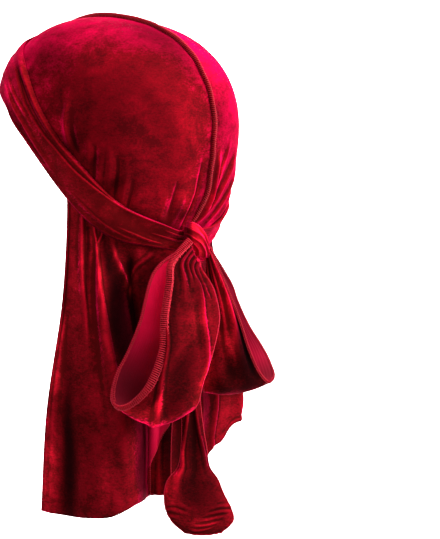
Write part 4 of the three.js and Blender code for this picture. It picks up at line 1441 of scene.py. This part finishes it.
# %% The cape's folds
CAPE_FOLDS = [
    # tables down the cape: share, place across, height, half width before and after the crest
    [[0.2, 0.125, 0, 3, 1], [0.3, 0.128, 1.8, 4, 1.6], [0.44, 0.124, 2.4, 6, 2], [0.54, 0.137, 1.8, 6, 2.2]]
    + [[0.62, 0.16, 0.8, 6, 3], [0.72, 0.18, 0, 6, 4]],
    [[0.2, 0.2, 0, 3, 1.4], [0.36, 0.207, 1.4, 4, 1.3], [0.413, 0.222, 1.4, 4, 1.2], [0.45, 0.23, 0, 3, 1.2]],
    [[0.25, 0.27, 0, 1.2, 1.2], [0.36, 0.255, 1.2, 1.3, 1.3], [0.405, 0.233, 1.2, 1.3, 1.3]]
    + [[0.43, 0.226, 0, 1.2, 1]],
    [[0.38, 0.222, 0, 2, 1], [0.42, 0.23, 2, 3, 1.2], [0.49, 0.254, 2.8, 5, 1.3], [0.6, 0.274, 2.6, 8, 1.4]]
    + [[0.7, 0.277, 2.2, 10, 1.5], [0.8, 0.276, 1.2, 8, 2], [1, 0.262, 0.6, 8, 2.4]],
    [[0.3, 0.3, 0, 2, 2], [0.4, 0.307, 1.4, 2.5, 2.5], [0.5, 0.34, 1.8, 3, 2.6], [0.56, 0.37, 0, 3, 3]],
    [[0.28, 0.48, 0, 2, 2], [0.36, 0.46, 1.2, 3, 3], [0.46, 0.4, 0.8, 3, 3], [0.52, 0.38, 0, 3, 3]],
    [[0.6, 0.03, 0, 3, 3], [0.7, 0.035, 1.4, 5, 4], [0.84, 0.03, 1.2, 6, 4], [1, 0.03, 1.2, 6, 5]],
    [[0.74, 0.21, 0, 6, 6], [0.9, 0.22, 1.6, 8, 5], [1, 0.23, 1.8, 8, 5]],
    [[0.6, 0.665, 0, 2, 1.4], [0.79, 0.667, 2, 3, 1.2], [0.95, 0.653, 2, 3, 1.3], [1, 0.65, 1.6, 3, 1.4]],
    [[0.2, 0.56, 0, 2, 3], [0.5, 0.57, 1.6, 4, 4], [0.8, 0.58, 1.8, 5, 4], [1, 0.58, 1, 6, 5]],
    [[0.2, 0.76, 0, 2, 3], [0.5, 0.76, 2, 4, 3], [0.8, 0.77, 2, 5, 4], [1, 0.78, 1, 6, 5]],
    [[0.2, 0.88, 0, 2, 3], [0.5, 0.88, 1.8, 4, 3], [0.8, 0.89, 2, 5, 4], [1, 0.9, 1, 6, 5]],
    [[0.3, 0.98, 0, 3, 3], [0.6, 0.975, 1.6, 4, 3], [1, 0.98, 1.4, 5, 3]],
]
print("folds on the cape:", len(CAPE_FOLDS))

# %% [markdown]
# ## Smooth curves through few points
#
# A curve through given points can overshoot between them, and cloth that does so cuts through itself. The
# Catmull-Rom curve with knots spaced by the square roots of the distances keeps to the short way.


# %% Smooth curves through few points
def polar(plan, radius, height):
    """A point at a plan angle in degrees, a radius and a height."""
    plan, radius, height = np.broadcast_arrays(np.radians(plan), radius, height)
    return np.stack([radius * np.cos(plan), radius * np.sin(plan), height], -1)


def smooth_curve(knots, at):
    """The centripetal Catmull-Rom curve through a few points: the knots are spaced by the square roots of
    their distances, which keeps it from swinging out."""
    knots = np.concatenate([2 * knots[:1] - knots[1:2], knots, 2 * knots[-1:] - knots[-2:-1]])
    gap = np.maximum(np.sqrt(np.linalg.norm(np.diff(knots, axis=0), axis=-1)), 1e-4)[..., None]
    place = at * (len(knots) - 3)
    k = np.clip(place.astype(int), 0, len(knots) - 4)
    column = np.broadcast_to(np.arange(knots.shape[1]), k.shape)
    p0, p1, p2, p3 = (knots[k + i, column] for i in range(4))
    g0, g1, g2 = (gap[k + i, column] for i in range(3))
    start = ((p1 - p0) / g0 - (p2 - p0) / (g0 + g1) + (p2 - p1) / g1) * g1
    end = ((p2 - p1) / g1 - (p3 - p1) / (g1 + g2) + (p3 - p2) / g2) * g1
    t = (place - k)[..., None]
    places = (2 * t**3 - 3 * t**2 + 1) * p1 + (3 * t**2 - 2 * t**3) * p2
    return places + (t**3 - 2 * t**2 + t) * start + (t**3 - t**2) * end


print("a point at 90 degrees and 10 mm out:", polar(90, 10, 0).round(1))

# %% [markdown]
# ## The cape's cloth
#
# Each column of the grid is such a curve, from under the band over two levels to the hem. The rows crowd
# together near the band, where the cloth bends most. A free edge of velvet is turned in once, which makes it
# a little thicker: a step along the edges shows that.


# %% The cape's cloth
EDGE_STEP = 0.8


def cape_cloth(rows=150, columns=300):
    """The cape as a grid from under the band down to the hem and from its left to its right free edge. Its
    hem has a fine wave on the far side, and near the free edges the cloth stands higher by a step."""
    down, share = shares(rows, columns)
    _, top, plan1, radius1, plan2, radius2, plan3, radius3, hem = read_table(numbered(CAPE_LINES), share[0])
    rim = rim_height(top)
    hem = hem + 1.6 * np.sin(70 * share[0]) * ease(0.55, 0.65, share[0])
    knots = [
        at_height(top, rim - CAPE["gap"], CAPE["lift"]),
        at_height(top, rim - CAPE["tuck"], CAPE["lift"]),
        polar(plan1, radius1, UPPER),
        polar(plan2, radius2, LOWER),
        polar(plan3, radius3, hem),
    ]
    points = smooth_curve(np.array(knots), down**1.25)
    lift = long_folds(down, share, CAPE["wide"], CAPE_FOLDS)
    from_edge = np.minimum(np.minimum(share, 1 - share) * CAPE["wide"], (1 - down) * CAPE["long"])
    lift += EDGE_STEP * (1 - ease(3.6, 4.6, from_edge))
    return points + lift[..., None] * normals(points)


cape_points = cape_cloth()
print("the cape hangs down to", cape_points[..., 2].min().round(1), "mm below the head's centre")

# %% [markdown]
# ## The cape in velvet
#
# The deep recess behind the bow gets patches of painted shade, where hardly any light reaches the pile, and
# the crests beside it get painted highlights. The inside gets painted shade as a whole, as in the crown.

# %% The cape in velvet
# Patches of the pile's lie, mixed with painted shade in the recess and painted highlights on the crests.
CAPE_TONE_AND_LIGHT = [
    # middle down and across, half lengths down and across, stops
    [0.77, 0.12, 0.07, 0.04, -0.5],
    [0.9, 0.015, 0.14, 0.022, 0.8],
    [0.5, 0.31, 0.06, 0.02, -0.9],
    [0.52, 0.4, 0.09, 0.02, 1.4],
    [0.21, 0.56, 0.06, 0.05, 1.2],
    [0.28, 0.48, 0.04, 0.03, -1.2],
    [0.88, 0.52, 0.05, 0.03, 1.4],
    [0.6, 0.18, 0.4, 0.06, 0.5],
    [0.4, 0.215, 0.05, 0.02, 0.6],
    [0.44, 0.234, 0.05, 0.008, 1.2],
    [0.52, 0.257, 0.05, 0.008, 1.6],
    [0.63, 0.273, 0.09, 0.008, 1.2],
    [0.93, 0.2, 0.05, 0.022, 1.1],
    [0.84, 0.16, 0.07, 0.05, -0.5],
    [0.45, 0.07, 0.26, 0.05, 0.8],
    [0.45, 0.157, 0.13, 0.014, -2.4],
    [0.42, 0.187, 0.07, 0.012, 1],
    [0.58, 0.01, 0.07, 0.02, -0.8],
    [0.3, 0.42, 0.05, 0.08, 0.8],
    [0.35, 0.52, 0.12, 0.03, 1],
    [0.36, 0.74, 0.1, 0.06, -1],
    [0.2, 0.56, 0.06, 0.05, 1.2],
    [0.88, 0.09, 0.13, 0.022, -4],
    [0.7, 0.03, 0.06, 0.026, 1.8],
    [0.93, 0.03, 0.08, 0.028, 1.6],
    [0.6, 0.1, 0.4, 0.14, 0.35],
    [0.4, 0.27, 0.05, 0.014, -2.4],
    [0.46, 0.29, 0.05, 0.014, -3],
    [0.57, 0.315, 0.07, 0.025, -3.8],
    [0.67, 0.32, 0.08, 0.032, -3.4],
    [0.6, 0.39, 0.06, 0.035, -2.2],
    [0.45, 0.368, 0.06, 0.022, -2.4],
    [0.42, 0.306, 0.03, 0.008, 1.6],
    [0.475, 0.324, 0.025, 0.009, 2.6],
    [0.52, 0.346, 0.03, 0.013, 4.4],
    [0.555, 0.376, 0.018, 0.01, 4],
    [0.38, 0.43, 0.06, 0.02, 0.8],
    [0.88, 0.288, 0.12, 0.007, 0.6],
    [0.9, 0.32, 0.18, 0.022, -4],
    [0.9, 0.49, 0.1, 0.05, -2],
    [0.38, 0.73, 0.12, 0.08, -1.8],
    [0.87, 0.61, 0.1, 0.06, -1.3],
    [0.85, 0.78, 0.08, 0.03, 0.7],
    [0.57, 0.1, 0.07, 0.04, 0.25],
    [0.87, 0.69, 0.06, 0.03, 0.45],
]
cape_looks = ([cape_velvet, knit_back], "velvet_cape", CAPE["thickness"])
cape = make_cloth("cape_velvet", cape_points, *cape_looks, CAPE_TONE_AND_LIGHT, inside=IN_SHADE)
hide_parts("cape")

# %% [markdown]
# ## The floor
#
# A pale sweep of paper stands for the studio: the floor curves up into the wall behind, so no horizon shows.
# A plane and a wall would need a bevel between them, and this is one profile of three parts.

# %% The floor
paper, tree = new_material("matt_white_paper")
here = add_node(tree, "TexCoord").outputs["Object"]
fibre = add_node(tree, "TexNoise", {"Vector": here, "Scale": 40, "Detail": 4})
whites = {0: fibre, 6: colour("#f4f4f4"), 7: colour("#fafafa")}
shade = add_node(tree, "Mix", whites, data_type="RGBA").outputs[2]
look = {"Base Color": shade, "Roughness": 0.9, "Specular IOR Level": 0.2}
add_node(tree, "OutputMaterial", {0: add_node(tree, "BsdfPrincipled", look)})


def sweep(columns=8, floor=-1.2, near=0.8, far=2.4, curve=1.4, tall=3.2, half_wide=2):
    """Points of a paper sweep, in metres: flat from near to far, a quarter circle, then straight up."""
    angle = np.linspace(0, np.pi / 2, 24)
    out = np.concatenate([[-near], far + curve * np.sin(angle), [far + curve]])
    up = np.concatenate([[0], curve * (1 - np.cos(angle)), [tall]])
    across = np.linspace(-half_wide, half_wide, columns)
    return turned(across[None], -out[:, None], (up + floor)[:, None], VIEW["turn"])


sheet_of_paper = sweep()
mesh = bpy.data.meshes.new("paper_sweep")
mesh.from_pydata(sheet_of_paper.reshape(-1, 3), [], grid_faces(*sheet_of_paper.shape[:2]))
mesh.polygons.foreach_set("use_smooth", np.ones(len(mesh.polygons), bool))
mesh.materials.append(paper)
floor = bpy.data.objects.new("paper_sweep", mesh)
bpy.context.scene.collection.objects.link(floor)
print("paper of", len(mesh.polygons), "faces")

# %% [markdown]
# ## Light
#
# Two large soft lights, from above and from the right, show the folds, and weak ones from the left and the
# front keep the shadows open. One more lights the paper behind, so that it stays white, and a pale world
# fills what is left. A single sun would be simpler, but velvet shows its folds best under wide lights.

# %% Light
LIGHTS = {
    # across, out, up in metres from the head's centre, the point it is aimed at, width and power in watts
    "top": (0.7, 0.2, 1.4, (0, 0, -0.08), 0.9, 42),
    "right": (1.4, 0.6, 0.6, (0, 0, -0.08), 0.7, 60),
    "left": (-1.4, 0.9, 0.4, (0, 0, -0.08), 1.0, 14),
    "front": (0.1, 2.0, 0.5, (0, 0, -0.08), 1.4, 12),
    "paper": (0, -0.9, 1.1, (0, -3.6, -0.4), 1.2, 420),
}
for name, (across, out, up, target, wide, power) in LIGHTS.items():
    lamp = bpy.data.objects.new("light_" + name, bpy.data.lights.new("light_" + name, "AREA"))
    place, aim = (turned(*point, VIEW["turn"]) + HEAD_CENTRE / 1000 for point in ((across, out, up), target))
    lamp.location = place
    lamp.rotation_euler = Vector(aim - place).to_track_quat("-Z", "Y").to_euler()
    lamp.data.size, lamp.data.energy = wide, power
    bpy.context.scene.collection.objects.link(lamp)

world = bpy.data.worlds.new("studio")
world.use_nodes = True
background = world.node_tree.nodes["Background"].inputs
background["Color"].default_value = (1, 1, 1, 1)
background["Strength"].default_value = 0.08
bpy.context.scene.world = world
bpy.context.scene.view_settings.view_transform = "Standard"
print("lights:", ", ".join(LIGHTS))
